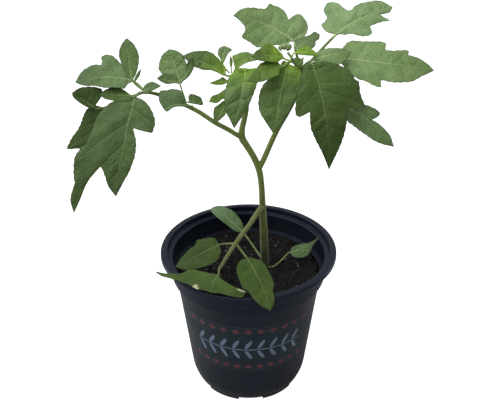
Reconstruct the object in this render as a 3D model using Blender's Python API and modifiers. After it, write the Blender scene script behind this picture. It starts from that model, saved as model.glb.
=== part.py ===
"""Cherry tomato plant in a round nursery pot: pot, soil, stem, leaf stalks and single leaflets.

Lengths in the tables are millimetres. The origin is the middle of the pot's base, +Z is up, and
the label side of the pot looks along -Y. Heights are measured from the underside of the pot's wall,
and an empty lifts everything by the height of the feet below it.
"""

import math

import bpy
import bmesh
from mathutils import Vector, noise

MM = 0.001
GAP = 0.3
MERGE_DISTANCE = 0.00001

# Pot
POT_HEIGHT = 103.0
RIM_RADIUS = 60.0
RIM_MOUTH_RADIUS = 55.2
RIM_SKIRT = 3.2
RIM_THICKNESS = 1.4
MOUTH_DEPTH = 4.4
COLLAR_RADIUS = 53.0
COLLAR_BOTTOM = 83.5
WALL_BASE_RADIUS = 41.0
WALL_SLOPE = 0.11
WALL = 1.2
FLOOR_HEIGHT = 5.0
FLOOR_THICKNESS = 1.6
FOOT_CORNER = 6.0
FOOT_HEIGHT = 2.8
FOOT_RADIUS = 38.8
FOOT_RING_WIDTH = 4.6
BASE_PAD_RADIUS = 11.0
NOTCHES = 6
NOTCH_WIDTH = 17.0
NOTCH_TURN = 2.4
DRAIN_HOLES = 6
DRAIN_HOLE_RADIUS = 3.5
DRAIN_HOLE_CIRCLE = 25.0
POT_SEGMENTS = 48

# Soil
SOIL_LEVEL = 84.0
SOIL_CLEARANCE = 0.6
SOIL_RELIEF = 1.3
SOIL_SEGMENTS = 36

# Leaf blades
BLADE_THICKNESS = 0.7
STALK_HALF_WIDTH = 0.7
TIP_HALF_WIDTH = 0.35
CELLS_PER_SIDE = 2

# Colours, roughness
POT_PLASTIC = ((0.012, 0.015, 0.022), 0.42)
COMPOST = ((0.018, 0.012, 0.008), 0.95)
STEM_GREEN = ((0.13, 0.19, 0.05), 0.6)
LEAF_GREEN = ((0.075, 0.17, 0.045), 0.6)
YOUNG_GREEN = ((0.22, 0.34, 0.05), 0.55)

# Stems and stalks: the points of the centre line and the radius at each point.
STEMS = {
    "main_stem": [
        (11.5, 4, 64, 2.8), (11.5, 4, 84, 3.1), (10.8, 4, 104, 2.8), (10, 3.5, 120, 2.6),
        (9.3, 3, 134, 2.2), (8.5, 2.5, 148, 2.0), (7, 1.5, 159, 2.1), (3.5, 0.5, 169, 2.1),
        (-1, -0.5, 177.5, 2.1), (-4, -1.5, 183.5, 2.3), (-3.8, -2.5, 190, 1.9), (-2.2, -4, 198, 1.75),
        (-1.2, -5, 205.5, 1.6), (-3, -6, 214, 1.5), (-7, -6.3, 221.5, 1.2), (-9.5, -6.5, 225, 1.0),
    ],
    "right_leaf_stalk": [
        (9.5, 0.3, 167, 1.8), (12, -0.8, 174, 1.75), (17.5, -2.5, 188.5, 1.7), (25, -5, 204.5, 1.65),
        (29, -7, 216, 1.55), (30.5, -8.5, 225, 1.45), (31, -9.5, 230.5, 1.3),
    ],
    "left_leaf_stalk": [
        (-8.2, -4, 187, 1.5), (-12, -5, 190, 1.5), (-20.5, -7.5, 196, 1.45),
        (-29, -9.5, 203, 1.4), (-37, -11, 208, 1.3), (-45, -13, 212.5, 1.2),
        (-52, -15, 216, 1.1), (-58, -16, 217.6, 0.9), (-62, -17, 217.6, 0.8),
    ],
    "left_lower_stalk": [
        (-62.5, -13.8, 216.2, 0.7), (-68, -12.5, 213, 0.7), (-76, -12, 209.5, 0.65),
        (-81, -12.2, 208.2, 0.6),
    ],
    "low_leaf_stalk": [
        (5, -2.6, 128.5, 1.8), (0.5, -8, 124, 1.6), (-5.5, -15, 119, 1.5),
        (-9.5, -20.5, 115.5, 1.4), (-14.5, -29, 111.5, 1.25), (-18.5, -38, 109, 0.95),
    ],
    "top_right_stalk": [
        (33.3, -5.5, 231, 0.9), (37.5, -2, 232.8, 0.9), (43, 4, 237, 0.85), (50, 8.6, 243, 0.8),
    ],
    "top_stalk": [
        (29.8, -5.2, 230, 0.9), (28.5, -4, 234.5, 0.85), (27, -1.5, 240, 0.8),
    ],
    "centre_stalk": [
        (28.2, -11, 231.2, 0.8), (25.5, -12, 234.3, 0.8), (23.5, -13, 235.2, 0.75),
    ],
}

# Leaflets. "midrib" runs from the leaf base to its tip, after the point where its own short stalk
# leaves the plant. "face" is where the upper side looks, at the base and, if given, at the tip.
# "left" and "right" are the margins: each point is (where its side vein leaves the midrib, where it
# reaches the margin, both as a fraction of the midrib, and how far out the margin is there).
# "fold" lifts the left and right half (degrees); "curl" bends the halves down (per metre).
LEAFLETS = {
    "left_terminal_leaflet": dict(
        stalk=(-62, -17, 218), clear=1.4,
        midrib=[(-65, -20, 215.5), (-71, -36, 192), (-75, -50, 168)], face=[(-0.1, -0.85, 0.5)],
        left=[(0, 0, 5), (0.04, 0.1, 12.5), (0.09, 0.21, 15.5), (0.14, 0.31, 15), (0.18, 0.31, 8.5),
              (0.22, 0.3, 4), (0.32, 0.42, 7), (0.42, 0.54, 8), (0.62, 0.74, 6), (0.8, 0.88, 3)],
        right=[(0, 0, 4), (0.04, 0.1, 13), (0.09, 0.24, 18.5), (0.14, 0.4, 20), (0.18, 0.53, 22),
               (0.22, 0.66, 27), (0.27, 0.8, 27), (0.32, 0.97, 22), (0.42, 0.83, 15),
               (0.5, 0.73, 11), (0.62, 0.8, 8), (0.8, 0.92, 4.5)],
        fold=(8, 8), curl=(6, 5)),
    "left_hidden_leaflet": dict(
        stalk=(-81, -12.2, 208.2), clear=1.2,
        midrib=[(-84, -11.5, 206), (-96, -12, 178), (-110, -20, 140)], face=[(0.2, -0.85, 0.45)],
        left=[(0, 0, 5), (0.2, 0.25, 8), (0.4, 0.5, 8), (0.55, 0.64, 5.4), (0.7, 0.78, 2.5),
              (0.85, 0.9, 1.5)],
        right=[(0, 0.03, 8), (0.06, 0.15, 11), (0.14, 0.3, 11.4), (0.2, 0.45, 14), (0.26, 0.54, 14.6),
               (0.33, 0.52, 11), (0.4, 0.5, 7.6), (0.55, 0.58, 7), (0.7, 0.75, 4.5), (0.85, 0.9, 4.5)],
        fold=(5, 5), curl=(8, 4)),
    "left_side_leaflet": dict(
        stalk=(-62, -15.5, 217.6), clear=1.8,
        midrib=[(-69, -12.5, 214.5), (-86.5, -15, 215.8)], face=[(0, -0.65, 0.76)],
        left=[(0.05, 0.08, 1.5), (0.3, 0.37, 4.2), (0.65, 0.76, 3.2)],
        right=[(0.04, 0.05, 1.5), (0.2, 0.25, 3.8), (0.4, 0.5, 5), (0.7, 0.8, 3.2)],
        fold=(10, 10), curl=(0, 0)),
    "left_cupped_leaflet": dict(
        stalk=(-81, -12.2, 208.2), clear=2.6,
        midrib=[(-90, -15, 208), (-101, -18, 218)], face=[(0.5, -0.7, 0.45)],
        left=[(0, 0.1, 2), (0.3, 0.55, 2.8), (0.7, 0.9, 2)],
        right=[(0.02, 0, 9), (0.12, 0.14, 11.4), (0.3, 0.43, 10), (0.5, 0.72, 7), (0.75, 0.88, 4.5)],
        fold=(12, 12), curl=(0, 0)),
    "left_upper_leaflet": dict(
        stalk=(-60, -16, 219), clear=2.4,
        midrib=[(-68, -9, 222.5), (-85, -8, 224), (-101, -8, 221)], face=[(0.1, -0.6, 0.8)],
        left=[(0, 0.03, 3), (0.05, 0.08, 7), (0.3, 0.35, 7.6), (0.55, 0.62, 6), (0.8, 0.9, 3.2)],
        right=[(0, 0.1, 5), (0.05, 0.2, 9), (0.13, 0.3, 12.3), (0.2, 0.4, 15.3), (0.25, 0.48, 15.8),
               (0.3, 0.55, 14), (0.36, 0.53, 10.6), (0.42, 0.54, 8.6), (0.55, 0.65, 9),
               (0.65, 0.75, 8), (0.8, 0.88, 5.6)],
        fold=(5, 5), curl=(2, 2)),
    "left_upright_leaflet": dict(
        stalk=(-61, -15.5, 219), clear=2.2,
        midrib=[(-66.5, -14.6, 224.7), (-68, -11.5, 235.5), (-68.5, -9, 247)], face=[(-0.1, -0.9, 0.3)],
        left=[(0.05, 0.1, 2.2), (0.25, 0.38, 4.2), (0.48, 0.62, 5.2), (0.75, 0.86, 3.2)],
        right=[(0.04, 0.1, 2.6), (0.2, 0.34, 5.3), (0.45, 0.6, 6.4), (0.75, 0.88, 3.8)],
        fold=(8, 8), curl=(2, 2)),
    "left_sliver_leaflet": dict(
        stalk=(-62.6, -17, 221), clear=1.6,
        midrib=[(-64.3, -17.2, 225.4), (-60.8, -16, 231.4)], face=[(0, -0.9, 0.3)],
        left=[(0.45, 0.5, 0.8)], right=[(0.45, 0.5, 1.1)],
        fold=(0, 0), curl=(0, 0)),
    "left_curved_leaflet": dict(
        stalk=(-61.5, -17.6, 217.7), clear=1.3,
        midrib=[(-60.5, -19.5, 218.9), (-55.5, -20.5, 221.5), (-49.5, -20.5, 223)], face=[(0, -0.65, 0.76)],
        left=[(0.05, 0.08, 1.6), (0.18, 0.24, 3.4), (0.5, 0.58, 3.9), (0.78, 0.86, 1.8)],
        right=[(0.05, 0.08, 1.2), (0.2, 0.24, 3), (0.5, 0.54, 2.2), (0.78, 0.84, 1.2)],
        fold=(4, 4), curl=(0, 0)),
    "left_folded_leaflet": dict(
        stalk=(-33, -11, 207.5), clear=2.4,
        midrib=[(-36, -17, 210), (-42, -21, 211.5), (-48, -25, 210.5)], face=[(0, -0.85, 0.5)],
        left=[(0.04, 0.05, 0.9), (0.5, 0.55, 0.9), (0.85, 0.95, 2)],
        right=[(0.02, 0.08, 4.5), (0.1, 0.2, 8), (0.25, 0.42, 9.6), (0.4, 0.66, 9.8),
               (0.55, 0.8, 10.4), (0.7, 0.94, 7.4), (0.85, 1, 3.5)],
        fold=(5, 5), curl=(3, 3)),
    "left_tuft_leaflet": dict(
        stalk=(-37, -9.8, 208.8), clear=1.2,
        midrib=[(-35.5, -6, 208.2), (-27, -6, 207)], face=[(0, -0.6, 0.8)],
        left=[(0.05, -0.1, 3), (0.2, 0.05, 6), (0.45, 0.42, 5.6), (0.75, 0.78, 4.2)],
        right=[(0.5, 0.56, 0.9), (0.85, 0.9, 1.1)],
        fold=(0, 0), curl=(0, 0)),
    "left_oval_leaflet": dict(
        stalk=(-37, -10, 210), clear=1.7,
        midrib=[(-40, -10, 222), (-42.5, -7, 231), (-46, -2.5, 239)], face=[(0, -0.85, 0.5)],
        left=[(0.04, 0.15, 6), (0.2, 0.36, 8.6), (0.34, 0.5, 9.6), (0.52, 0.72, 8), (0.75, 0.9, 5)],
        right=[(0.05, 0.15, 4), (0.3, 0.44, 6.6), (0.5, 0.65, 6.6), (0.75, 0.88, 3.6)],
        fold=(6, 6), curl=(2, 2)),
    "left_oval_side_leaflet": dict(
        stalk=(-39.8, -12.5, 221.5), clear=0.6,
        midrib=[(-40.8, -13.2, 222.5), (-52, -16, 226)], face=[(0, -0.75, 0.66)],
        left=[(0.1, 0.14, 0.9), (0.45, 0.53, 2.4), (0.75, 0.82, 1.5)],
        right=[(0.05, 0.12, 2.5), (0.35, 0.45, 3.8), (0.65, 0.76, 2.9)],
        fold=(8, 8), curl=(0, 0)),
    "left_oval_upper_leaflet": dict(
        stalk=(-38.6, -13.2, 222.5), clear=0.6,
        midrib=[(-38, -14.2, 223.8), (-33.5, -15, 231), (-31.5, -15, 237.5)], face=[(-0.3, -0.8, 0.5)],
        left=[(0.25, 0.3, 1.4), (0.5, 0.58, 2.6), (0.8, 0.88, 1.5)],
        right=[(0.25, 0.34, 2.4), (0.55, 0.66, 2.6), (0.8, 0.88, 1.4)],
        fold=(8, 8), curl=(0, 0)),
    "crown_left_leaflet": dict(
        stalk=(-10.5, -6.5, 224.5), clear=1.6,
        midrib=[(-13.5, -9.4, 226), (-26.5, -9.5, 233.2), (-38, -9, 236.5)], face=[(0, -0.6, 0.8)],
        left=[(0.03, 0.04, 1.4), (0.1, 0.14, 1.6), (0.18, 0.25, 2.2), (0.32, 0.43, 4.6),
              (0.5, 0.6, 5), (0.7, 0.78, 3.2), (0.86, 0.9, 1.4)],
        right=[(0.02, 0.02, 3.4), (0.06, 0.13, 6), (0.14, 0.28, 7.6), (0.25, 0.44, 8.2),
               (0.45, 0.66, 6.2), (0.7, 0.84, 3.4)],
        fold=(8, 8), curl=(2, 2)),
    "crown_upper_leaflet": dict(
        stalk=(-11, -4.5, 225.5), clear=1.4,
        midrib=[(-15, -4, 231.5), (-13.5, -2.5, 241)], face=[(0, -0.9, 0.4)],
        left=[(0.15, 0.26, 2), (0.35, 0.46, 3.4), (0.6, 0.7, 3.5), (0.85, 0.92, 2)],
        right=[(0.15, 0.24, 1.4), (0.45, 0.56, 2.4), (0.7, 0.84, 4.4)],
        fold=(6, 6), curl=(0, 0)),
    "crown_sliver_leaflet": dict(
        stalk=(-9.7, -6.2, 226), clear=1.4,
        midrib=[(-10, -6.5, 230.5), (-10.2, -6, 236)], face=[(0, -0.9, 0.4)],
        left=[(0.4, 0.45, 0.8)], right=[(0.4, 0.48, 1.1)],
        fold=(0, 0), curl=(0, 0)),
    "crown_arched_leaflet": dict(
        stalk=(-8.5, -5, 225.5), clear=1.7,
        midrib=[(-7.8, -1.5, 226.5), (-1.5, -1, 231), (5.5, -2.5, 233)], face=[(0, -0.6, 0.8)],
        left=[(0.05, 0.12, 4), (0.14, 0.22, 8), (0.36, 0.42, 7.2), (0.6, 0.66, 5.8), (0.8, 0.84, 3.2)],
        right=[(0.2, 0.2, 0.6), (0.5, 0.5, 0.6), (0.78, 0.8, 0.9)],
        fold=(8, 0), curl=(2, 0)),
    "crown_toothed_leaflet": dict(
        stalk=(-8.5, -7.2, 222.5), clear=1.4,
        midrib=[(-12, -9, 222), (-22.5, -9.5, 221)], face=[(0, -0.75, 0.66)],
        left=[(0.2, 0.26, 1.9), (0.55, 0.65, 1.6)],
        right=[(0.1, 0.26, 2.8), (0.32, 0.42, 2), (0.6, 0.68, 1.2)],
        fold=(6, 6), curl=(0, 0)),
    "crown_lobed_leaflet": dict(
        stalk=(-5, -7, 217.5), clear=1.9,
        midrib=[(-11, -8, 217), (-23, -12, 210.5)], face=[(0, -0.8, 0.6)],
        left=[(0.15, 0.3, 4.2), (0.4, 0.5, 3), (0.6, 0.72, 3.4)],
        right=[(0.15, 0.18, 1.4), (0.4, 0.46, 1.2), (0.65, 0.77, 2)],
        fold=(4, 4), curl=(0, 0)),
    "crown_lower_leaflet": dict(
        stalk=(-3.8, -7, 212), clear=1.9,
        midrib=[(-11.5, -9, 211), (-20, -14, 197.5)], face=[(0, -0.85, 0.5)],
        left=[(0.18, 0.24, 1.6), (0.4, 0.48, 2.9), (0.7, 0.78, 1.6)],
        right=[(0.1, 0.17, 2.6), (0.22, 0.32, 3.5), (0.4, 0.52, 4.9), (0.68, 0.78, 3)],
        fold=(6, 6), curl=(0, 0)),
    "crown_front_leaflet": dict(
        stalk=(-8.3, -6.8, 224.8), clear=1.3,
        midrib=[(-1.5, -11.8, 229.5), (-4.5, -26.5, 217), (-8, -32, 202)],
        face=[(0, -0.7, 0.7), (0, -0.9, 0.4)],
        left=[(0, -0.03, 2.6), (0.04, -0.04, 5.2), (0.1, 0.03, 7.6), (0.2, 0.15, 8),
              (0.34, 0.32, 7.2), (0.52, 0.53, 5.8), (0.7, 0.73, 3.6), (0.86, 0.87, 1.8)],
        right=[(0, -0.02, 3), (0.04, 0.05, 6.8), (0.1, 0.18, 9), (0.2, 0.34, 9.4), (0.36, 0.53, 9),
               (0.55, 0.74, 6.8), (0.78, 0.89, 3)],
        fold=(5, 5), curl=(6, 8)),
    "top_broad_leaflet": dict(
        stalk=(27, -1.5, 240), clear=1.2,
        midrib=[(26, 0, 243.5), (9, 4, 252), (-8.5, 6, 256.5)], face=[(0, -0.65, 0.76)],
        left=[(0.02, 0.03, 3.6), (0.06, 0.08, 6.6), (0.12, 0.17, 9), (0.22, 0.3, 13.2),
              (0.32, 0.44, 16.2), (0.4, 0.59, 15.2), (0.5, 0.78, 13), (0.58, 0.75, 9),
              (0.68, 0.78, 6.4), (0.8, 0.86, 3.6)],
        right=[(0, -0.1, 6.5), (0.05, -0.05, 13.4), (0.1, 0.03, 16), (0.15, 0.13, 17.2),
               (0.19, 0.185, 13.6), (0.23, 0.215, 10), (0.28, 0.28, 12.8), (0.38, 0.43, 14.4),
               (0.45, 0.54, 14.2), (0.52, 0.56, 10.8), (0.68, 0.74, 8), (0.8, 0.88, 6)],
        fold=(3, 3), curl=(2, 2)),
    "top_little_leaflet": dict(
        stalk=(28.3, -6, 235.4), clear=0.6,
        midrib=[(27.5, -7.5, 241), (34, -6.5, 245), (40.5, -6.5, 248.5)], face=[(0, -0.65, 0.76)],
        left=[(0.04, 0.1, 4.2), (0.4, 0.5, 3.1), (0.58, 0.66, 2.6), (0.76, 0.84, 3.1)],
        right=[(0.05, 0.13, 3.2), (0.35, 0.48, 6), (0.55, 0.7, 4.6), (0.68, 0.75, 3), (0.84, 0.9, 2.7)],
        fold=(4, 4), curl=(0, 0)),
    "top_dark_leaflet": dict(
        stalk=(23.5, -13, 235.2), clear=1.3,
        midrib=[(19.5, -14, 237), (11, -18, 239.7), (1.8, -21, 240)], face=[(0, -0.5, 0.87)],
        left=[(0.1, 0.14, 3), (0.28, 0.35, 5.5), (0.52, 0.6, 5.7), (0.78, 0.86, 3.8)],
        right=[(0, 0, 4.6), (0.04, 0.08, 7), (0.25, 0.35, 8.2), (0.6, 0.7, 5)],
        fold=(6, 6), curl=(2, 2)),
    "top_lower_leaflet": dict(
        stalk=(23.5, -13, 235.2), clear=2,
        midrib=[(18.3, -19, 233.5), (9.3, -25, 232.5), (-0.2, -30.5, 228.8)], face=[(0, -0.65, 0.76)],
        left=[(0.1, 0.14, 3), (0.2, 0.26, 5.3), (0.5, 0.6, 5.5), (0.78, 0.86, 3.4)],
        right=[(0.02, 0, 3.2), (0.1, 0.17, 5.5), (0.35, 0.44, 5.7), (0.62, 0.7, 3.4)],
        fold=(6, 6), curl=(4, 4)),
    "centre_leaflet": dict(
        stalk=(24.5, -13, 234.8), clear=2.2,
        midrib=[(22.2, -13.9, 233.6), (18.2, -25.5, 218.5), (14, -37, 201)],
        face=[(0, -0.7, 0.7), (0, -0.9, 0.4)],
        left=[(0, 0, 1.6), (0.04, 0.01, 5.8), (0.09, 0.07, 8.4), (0.16, 0.16, 9.8), (0.26, 0.28, 9.8),
              (0.38, 0.42, 9),
              (0.55, 0.6, 7.6), (0.72, 0.76, 5.6), (0.86, 0.88, 3.2)],
        right=[(0, -0.05, 2.2), (0.04, 0.05, 4), (0.12, 0.22, 6.4), (0.24, 0.37, 10.8), (0.36, 0.51, 12),
               (0.5, 0.65, 11.6), (0.66, 0.78, 9.4), (0.82, 0.89, 5)],
        fold=(6, 6), curl=(6, 6)),
    "top_yellow_leaflet": dict(
        stalk=(24.2, -12.4, 235.6), clear=1.9,
        midrib=[(26.5, -13.8, 240), (33, -14.2, 240.2), (39.6, -14.5, 238.6)], face=[(0, -0.7, 0.7)],
        left=[(0.05, 0.08, 1.8), (0.25, 0.3, 3.4), (0.42, 0.48, 4.2), (0.6, 0.64, 3),
              (0.8, 0.85, 1.6)],
        right=[(0.06, 0.1, 1.2), (0.4, 0.45, 1.8), (0.75, 0.8, 1.2)],
        fold=(0, 0), curl=(0, 0)),
    "top_knot_leaflet": dict(
        stalk=(29.3, -4.7, 231.8), clear=2,
        midrib=[(30.5, -15.5, 236.8), (28, -18.5, 233.5)], face=[(0, -0.7, 0.7)],
        left=[(0.4, 0.46, 1.6)], right=[(0.1, 0.05, 3.6), (0.35, 0.4, 4.4), (0.75, 0.83, 2.5)],
        fold=(0, 0), curl=(0, 0)),
    "top_right_leaflet": dict(
        stalk=(50, 8.6, 243), clear=1.2,
        midrib=[(52.5, 9.5, 245), (67, 13, 253.5), (85, 16, 259)], face=[(0, -0.65, 0.76)],
        left=[(0, -0.12, 5.5), (0.04, -0.1, 11), (0.08, 0.04, 11.6), (0.12, 0.09, 17.6), (0.16, 0.2, 20),
              (0.2, 0.3, 17), (0.25, 0.35, 11), (0.32, 0.4, 8), (0.4, 0.52, 9), (0.63, 0.74, 8.2),
              (0.78, 0.88, 5.8)],
        right=[(0.04, 0.09, 3.6), (0.12, 0.2, 6), (0.16, 0.26, 8.5), (0.25, 0.37, 12), (0.32, 0.47, 13),
               (0.4, 0.53, 11), (0.47, 0.55, 7.4), (0.55, 0.74, 7.6), (0.63, 0.9, 8.8), (0.7, 0.82, 5),
               (0.78, 0.79, 2.8), (0.88, 0.92, 3.2)],
        fold=(4, 4), curl=(3, 3)),
    "right_inner_leaflet": dict(
        stalk=(31, -9.5, 231), clear=3.2,
        midrib=[(37, -12.5, 235.6), (48, -13, 239), (58, -12.5, 240)], face=[(0, -0.7, 0.7)],
        left=[(0.05, 0.1, 3.4), (0.15, 0.22, 4.6), (0.45, 0.54, 3.7), (0.8, 0.88, 1.7)],
        right=[(0.03, 0.06, 4.4), (0.1, 0.16, 6.6), (0.28, 0.34, 7.8), (0.48, 0.58, 7.4),
               (0.75, 0.86, 3.6)],
        fold=(4, 4), curl=(0, 0)),
    "right_long_leaflet": dict(
        stalk=(31, -9.5, 231), clear=2.2,
        midrib=[(52, -8, 235.5), (70, -10, 234), (88, -13, 232.5), (105, -16, 230.5)],
        face=[(0, -0.6, 0.8)],
        left=[(0, 0.03, 7), (0.04, 0.09, 12), (0.1, 0.18, 13.5), (0.16, 0.26, 13.8),
              (0.23, 0.34, 14), (0.29, 0.42, 15), (0.34, 0.47, 14), (0.39, 0.47, 9.6),
              (0.48, 0.58, 9.8), (0.6, 0.71, 10.6), (0.64, 0.71, 7.8), (0.8, 0.85, 6.4),
              (0.9, 0.94, 3.6)],
        right=[(0, 0.04, 5), (0.04, 0.1, 8.6), (0.1, 0.2, 12.6), (0.16, 0.3, 14), (0.23, 0.4, 16.8),
               (0.29, 0.47, 17.4), (0.34, 0.46, 12.2), (0.48, 0.58, 12.6), (0.6, 0.7, 11.6),
               (0.68, 0.78, 10), (0.8, 0.88, 6)],
        fold=(3, 3), curl=(3, 3)),
    "front_dark_leaflet": dict(
        stalk=(31, -9.5, 231), clear=2.6,
        midrib=[(36, -22, 234.5), (42.5, -37, 211.5), (45, -48, 184)],
        face=[(0.1, -0.7, 0.7), (0.1, -0.9, 0.4)],
        left=[(0, -0.03, 5.4), (0.03, 0.01, 11.2), (0.06, 0.06, 16.2), (0.1, 0.12, 19.4),
              (0.14, 0.21, 21.6), (0.17, 0.24, 23.2), (0.2, 0.34, 22.8), (0.25, 0.48, 23.8),
              (0.3, 0.47, 18.2), (0.35, 0.46, 12.6), (0.44, 0.53, 12.2), (0.54, 0.63, 10.8),
              (0.66, 0.76, 7.8), (0.82, 0.89, 3.6)],
        right=[(0, -0.06, 2.4), (0.03, -0.02, 5.4), (0.08, 0.07, 8.4), (0.14, 0.2, 12.2),
               (0.2, 0.33, 15.2), (0.24, 0.44, 16.4), (0.28, 0.48, 14.8), (0.33, 0.45, 8.6),
               (0.4, 0.52, 9), (0.5, 0.6, 9.2), (0.64, 0.71, 7.4), (0.8, 0.85, 3.8)],
        fold=(5, 5), curl=(6, 6)),
    "right_lower_leaflet": dict(
        stalk=(31, -9.5, 231), clear=2.6,
        midrib=[(53, -17, 211), (70, -22, 202), (85, -26, 188)], face=[(0.2, -0.8, 0.5)],
        left=[(0.05, 0.13, 4.4), (0.12, 0.28, 6.4), (0.2, 0.4, 7.8), (0.28, 0.51, 8.6),
              (0.33, 0.56, 7.4), (0.38, 0.55, 4.4), (0.44, 0.52, 2.2), (0.55, 0.61, 2.8),
              (0.64, 0.71, 3), (0.78, 0.84, 2.8)],
        right=[(0.05, 0.1, 4.2), (0.16, 0.26, 7.8), (0.3, 0.41, 8), (0.5, 0.66, 7.4),
               (0.76, 0.87, 4.2)],
        fold=(5, 5), curl=(4, 4)),
    "low_left_leaflet": dict(
        stalk=(-9.5, -18.5, 116.3), clear=1.7,
        midrib=[(-19.5, -13, 111.5), (-34, -18, 106.5), (-48, -22, 100)], face=[(0.1, -0.45, 0.88)],
        left=[(0.02, 0.01, 4), (0.07, 0.06, 6.6), (0.15, 0.15, 9.4), (0.3, 0.34, 10.4),
              (0.5, 0.59, 8.8), (0.75, 0.88, 4.4)],
        right=[(0, 0, 1.6), (0.04, 0, 4.6), (0.1, 0.1, 7.8), (0.18, 0.24, 9), (0.26, 0.37, 10),
               (0.31, 0.43, 7.4), (0.4, 0.55, 7), (0.6, 0.79, 4)],
        fold=(4, 4), curl=(4, 4)),
    "low_front_leaflet": dict(
        stalk=(-8.5, -18.5, 116.5), clear=2.6,
        midrib=[(-1, -27, 110.5), (4.5, -43, 110), (9.5, -56.5, 106.5), (13, -67, 99.8)],
        face=[(0.15, -0.45, 0.88), (0.15, -0.75, 0.66)],
        left=[(0, 0.03, 3.4), (0.04, 0.09, 6.6), (0.1, 0.21, 8.4), (0.22, 0.41, 8.2),
              (0.36, 0.63, 7), (0.41, 0.67, 5.6), (0.6, 0.83, 4.4), (0.8, 0.93, 2.6)],
        right=[(0, 0.01, 2), (0.03, 0.03, 4.4), (0.08, 0.13, 8.6), (0.18, 0.27, 11.2),
               (0.3, 0.42, 11.6), (0.38, 0.53, 11.8), (0.43, 0.59, 9.8), (0.58, 0.76, 8),
               (0.76, 0.9, 4.8), (0.9, 0.96, 2.2)],
        fold=(4, 4), curl=(4, 4)),
    "low_terminal_leaflet": dict(
        stalk=(-18.5, -38, 109), clear=1.1,
        midrib=[(-19, -42, 108), (-21.5, -50, 107.5), (-22.5, -57, 105.5)], face=[(0, -0.3, 0.95)],
        left=[(0.04, 0.07, 2), (0.12, 0.22, 5), (0.22, 0.44, 12.2), (0.4, 0.62, 20.8),
              (0.5, 1.16, 18.6), (0.6, 1.12, 12.6), (0.8, 1.04, 6.6)],
        right=[(0.03, 0.05, 3), (0.07, 0.06, 7.2), (0.12, 0.06, 13.8), (0.17, 0.16, 18.2),
               (0.24, 0.35, 22.4), (0.35, 0.4, 27.6), (0.44, 0.4, 38.6), (0.5, 0.54, 30.8),
               (0.57, 0.6, 24), (0.64, 0.68, 15.8), (0.73, 0.84, 9.2), (0.86, 0.9, 3.8)],
        fold=(0, 0), curl=(2, 2)),
    "right_seed_leaf": dict(
        stalk=(14.3, 0.2, 84.9), clear=0.6,
        midrib=[(29, 7, 92.5), (40, 8, 96.5), (50, 10.5, 103.5)], face=[(0, -0.5, 0.87)],
        left=[(0.05, 0.08, 3.2), (0.2, 0.24, 4.2), (0.4, 0.44, 3.4), (0.6, 0.64, 1.6),
              (0.78, 0.82, 0.8)],
        right=[(0.04, 0.06, 3.6), (0.15, 0.2, 6), (0.33, 0.4, 6.8), (0.5, 0.57, 4.8),
               (0.64, 0.7, 2.2), (0.82, 0.86, 0.9)],
        fold=(5, 5), curl=(0, 0)),
    "left_seed_leaf": dict(
        stalk=(10.5, 4.5, 87), clear=4.3,
        midrib=[(-4, 21, 100.5), (-15, 30, 106.5), (-27.4, 40, 110)], face=[(0.2, -0.55, 0.8)],
        left=[(0.04, 0.08, 3), (0.2, 0.28, 4.6), (0.45, 0.55, 4.8), (0.75, 0.82, 3.8),
              (0.9, 0.95, 2.6)],
        right=[(0.04, 0.1, 3.4), (0.2, 0.3, 6), (0.45, 0.56, 7.4), (0.7, 0.78, 6.6),
               (0.88, 0.93, 4)],
        fold=(5, 5), curl=(0, 0)),
}

YOUNG = ("crown_sliver_leaflet", "crown_toothed_leaflet", "crown_lower_leaflet", "top_yellow_leaflet")
BUD_CENTRE = (21.3, -8.4, 242)
BUD_RADIUS = 3.3
BUD_SHAPE = (1.2, 0.75, 0.75)


def clear_scene():
    for obj in list(bpy.data.objects):
        bpy.data.objects.remove(obj, do_unlink=True)


def make_collection(name):
    collection = bpy.data.collections.new(name)
    bpy.context.scene.collection.children.link(collection)
    return collection


def make_material(name, finish):
    colour, roughness = finish
    material = bpy.data.materials.new(name)
    material.use_nodes = True
    shader = material.node_tree.nodes["Principled BSDF"]
    shader.inputs["Base Color"].default_value = (*colour, 1.0)
    shader.inputs["Roughness"].default_value = roughness
    shader.inputs["Metallic"].default_value = 0.0
    material.diffuse_color = (*colour, 1.0)
    return material


def add_object(name, data, collection, finish=None):
    obj = bpy.data.objects.new(name, data)
    collection.objects.link(obj)
    if finish:
        data.materials.append(make_material(name, finish))
    return obj


def mark_cutter(obj, cutters):
    for collection in list(obj.users_collection):
        collection.objects.unlink(obj)
    cutters.objects.link(obj)
    obj.hide_render = True
    obj.display_type = "WIRE"
    return obj


def cut(obj, cutter):
    modifier = obj.modifiers.new("cut_" + cutter.name, "BOOLEAN")
    modifier.operation = "DIFFERENCE"
    modifier.solver = "EXACT"
    modifier.object = cutter


def turned(name, profile, segments, collection, finish):
    """A solid of revolution about Z: the profile runs from the axis down the outside to the axis."""
    mesh = bpy.data.meshes.new(name)
    points = [(radius * MM, 0.0, height * MM) for radius, height in profile]
    edges = [(i, i + 1) for i in range(len(points) - 1)]
    mesh.from_pydata(points, edges, [])
    obj = add_object(name, mesh, collection, finish)
    screw = obj.modifiers.new("turn", "SCREW")
    screw.angle = math.tau
    screw.steps = segments
    screw.render_steps = segments
    screw.use_merge_vertices = True
    screw.merge_threshold = MERGE_DISTANCE
    return obj


def quarter(centre, radius, start, end, steps=4):
    """Points on an arc in the (radius, height) plane; the angles are degrees from +radius."""
    points = []
    for i in range(steps + 1):
        angle = math.radians(start + (end - start) * i / steps)
        points.append((centre[0] + radius * math.cos(angle), centre[1] + radius * math.sin(angle)))
    return points


def wall_radius(height):
    """Outer radius of the tapered wall at a height."""
    return WALL_BASE_RADIUS + WALL_SLOPE * height


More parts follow.
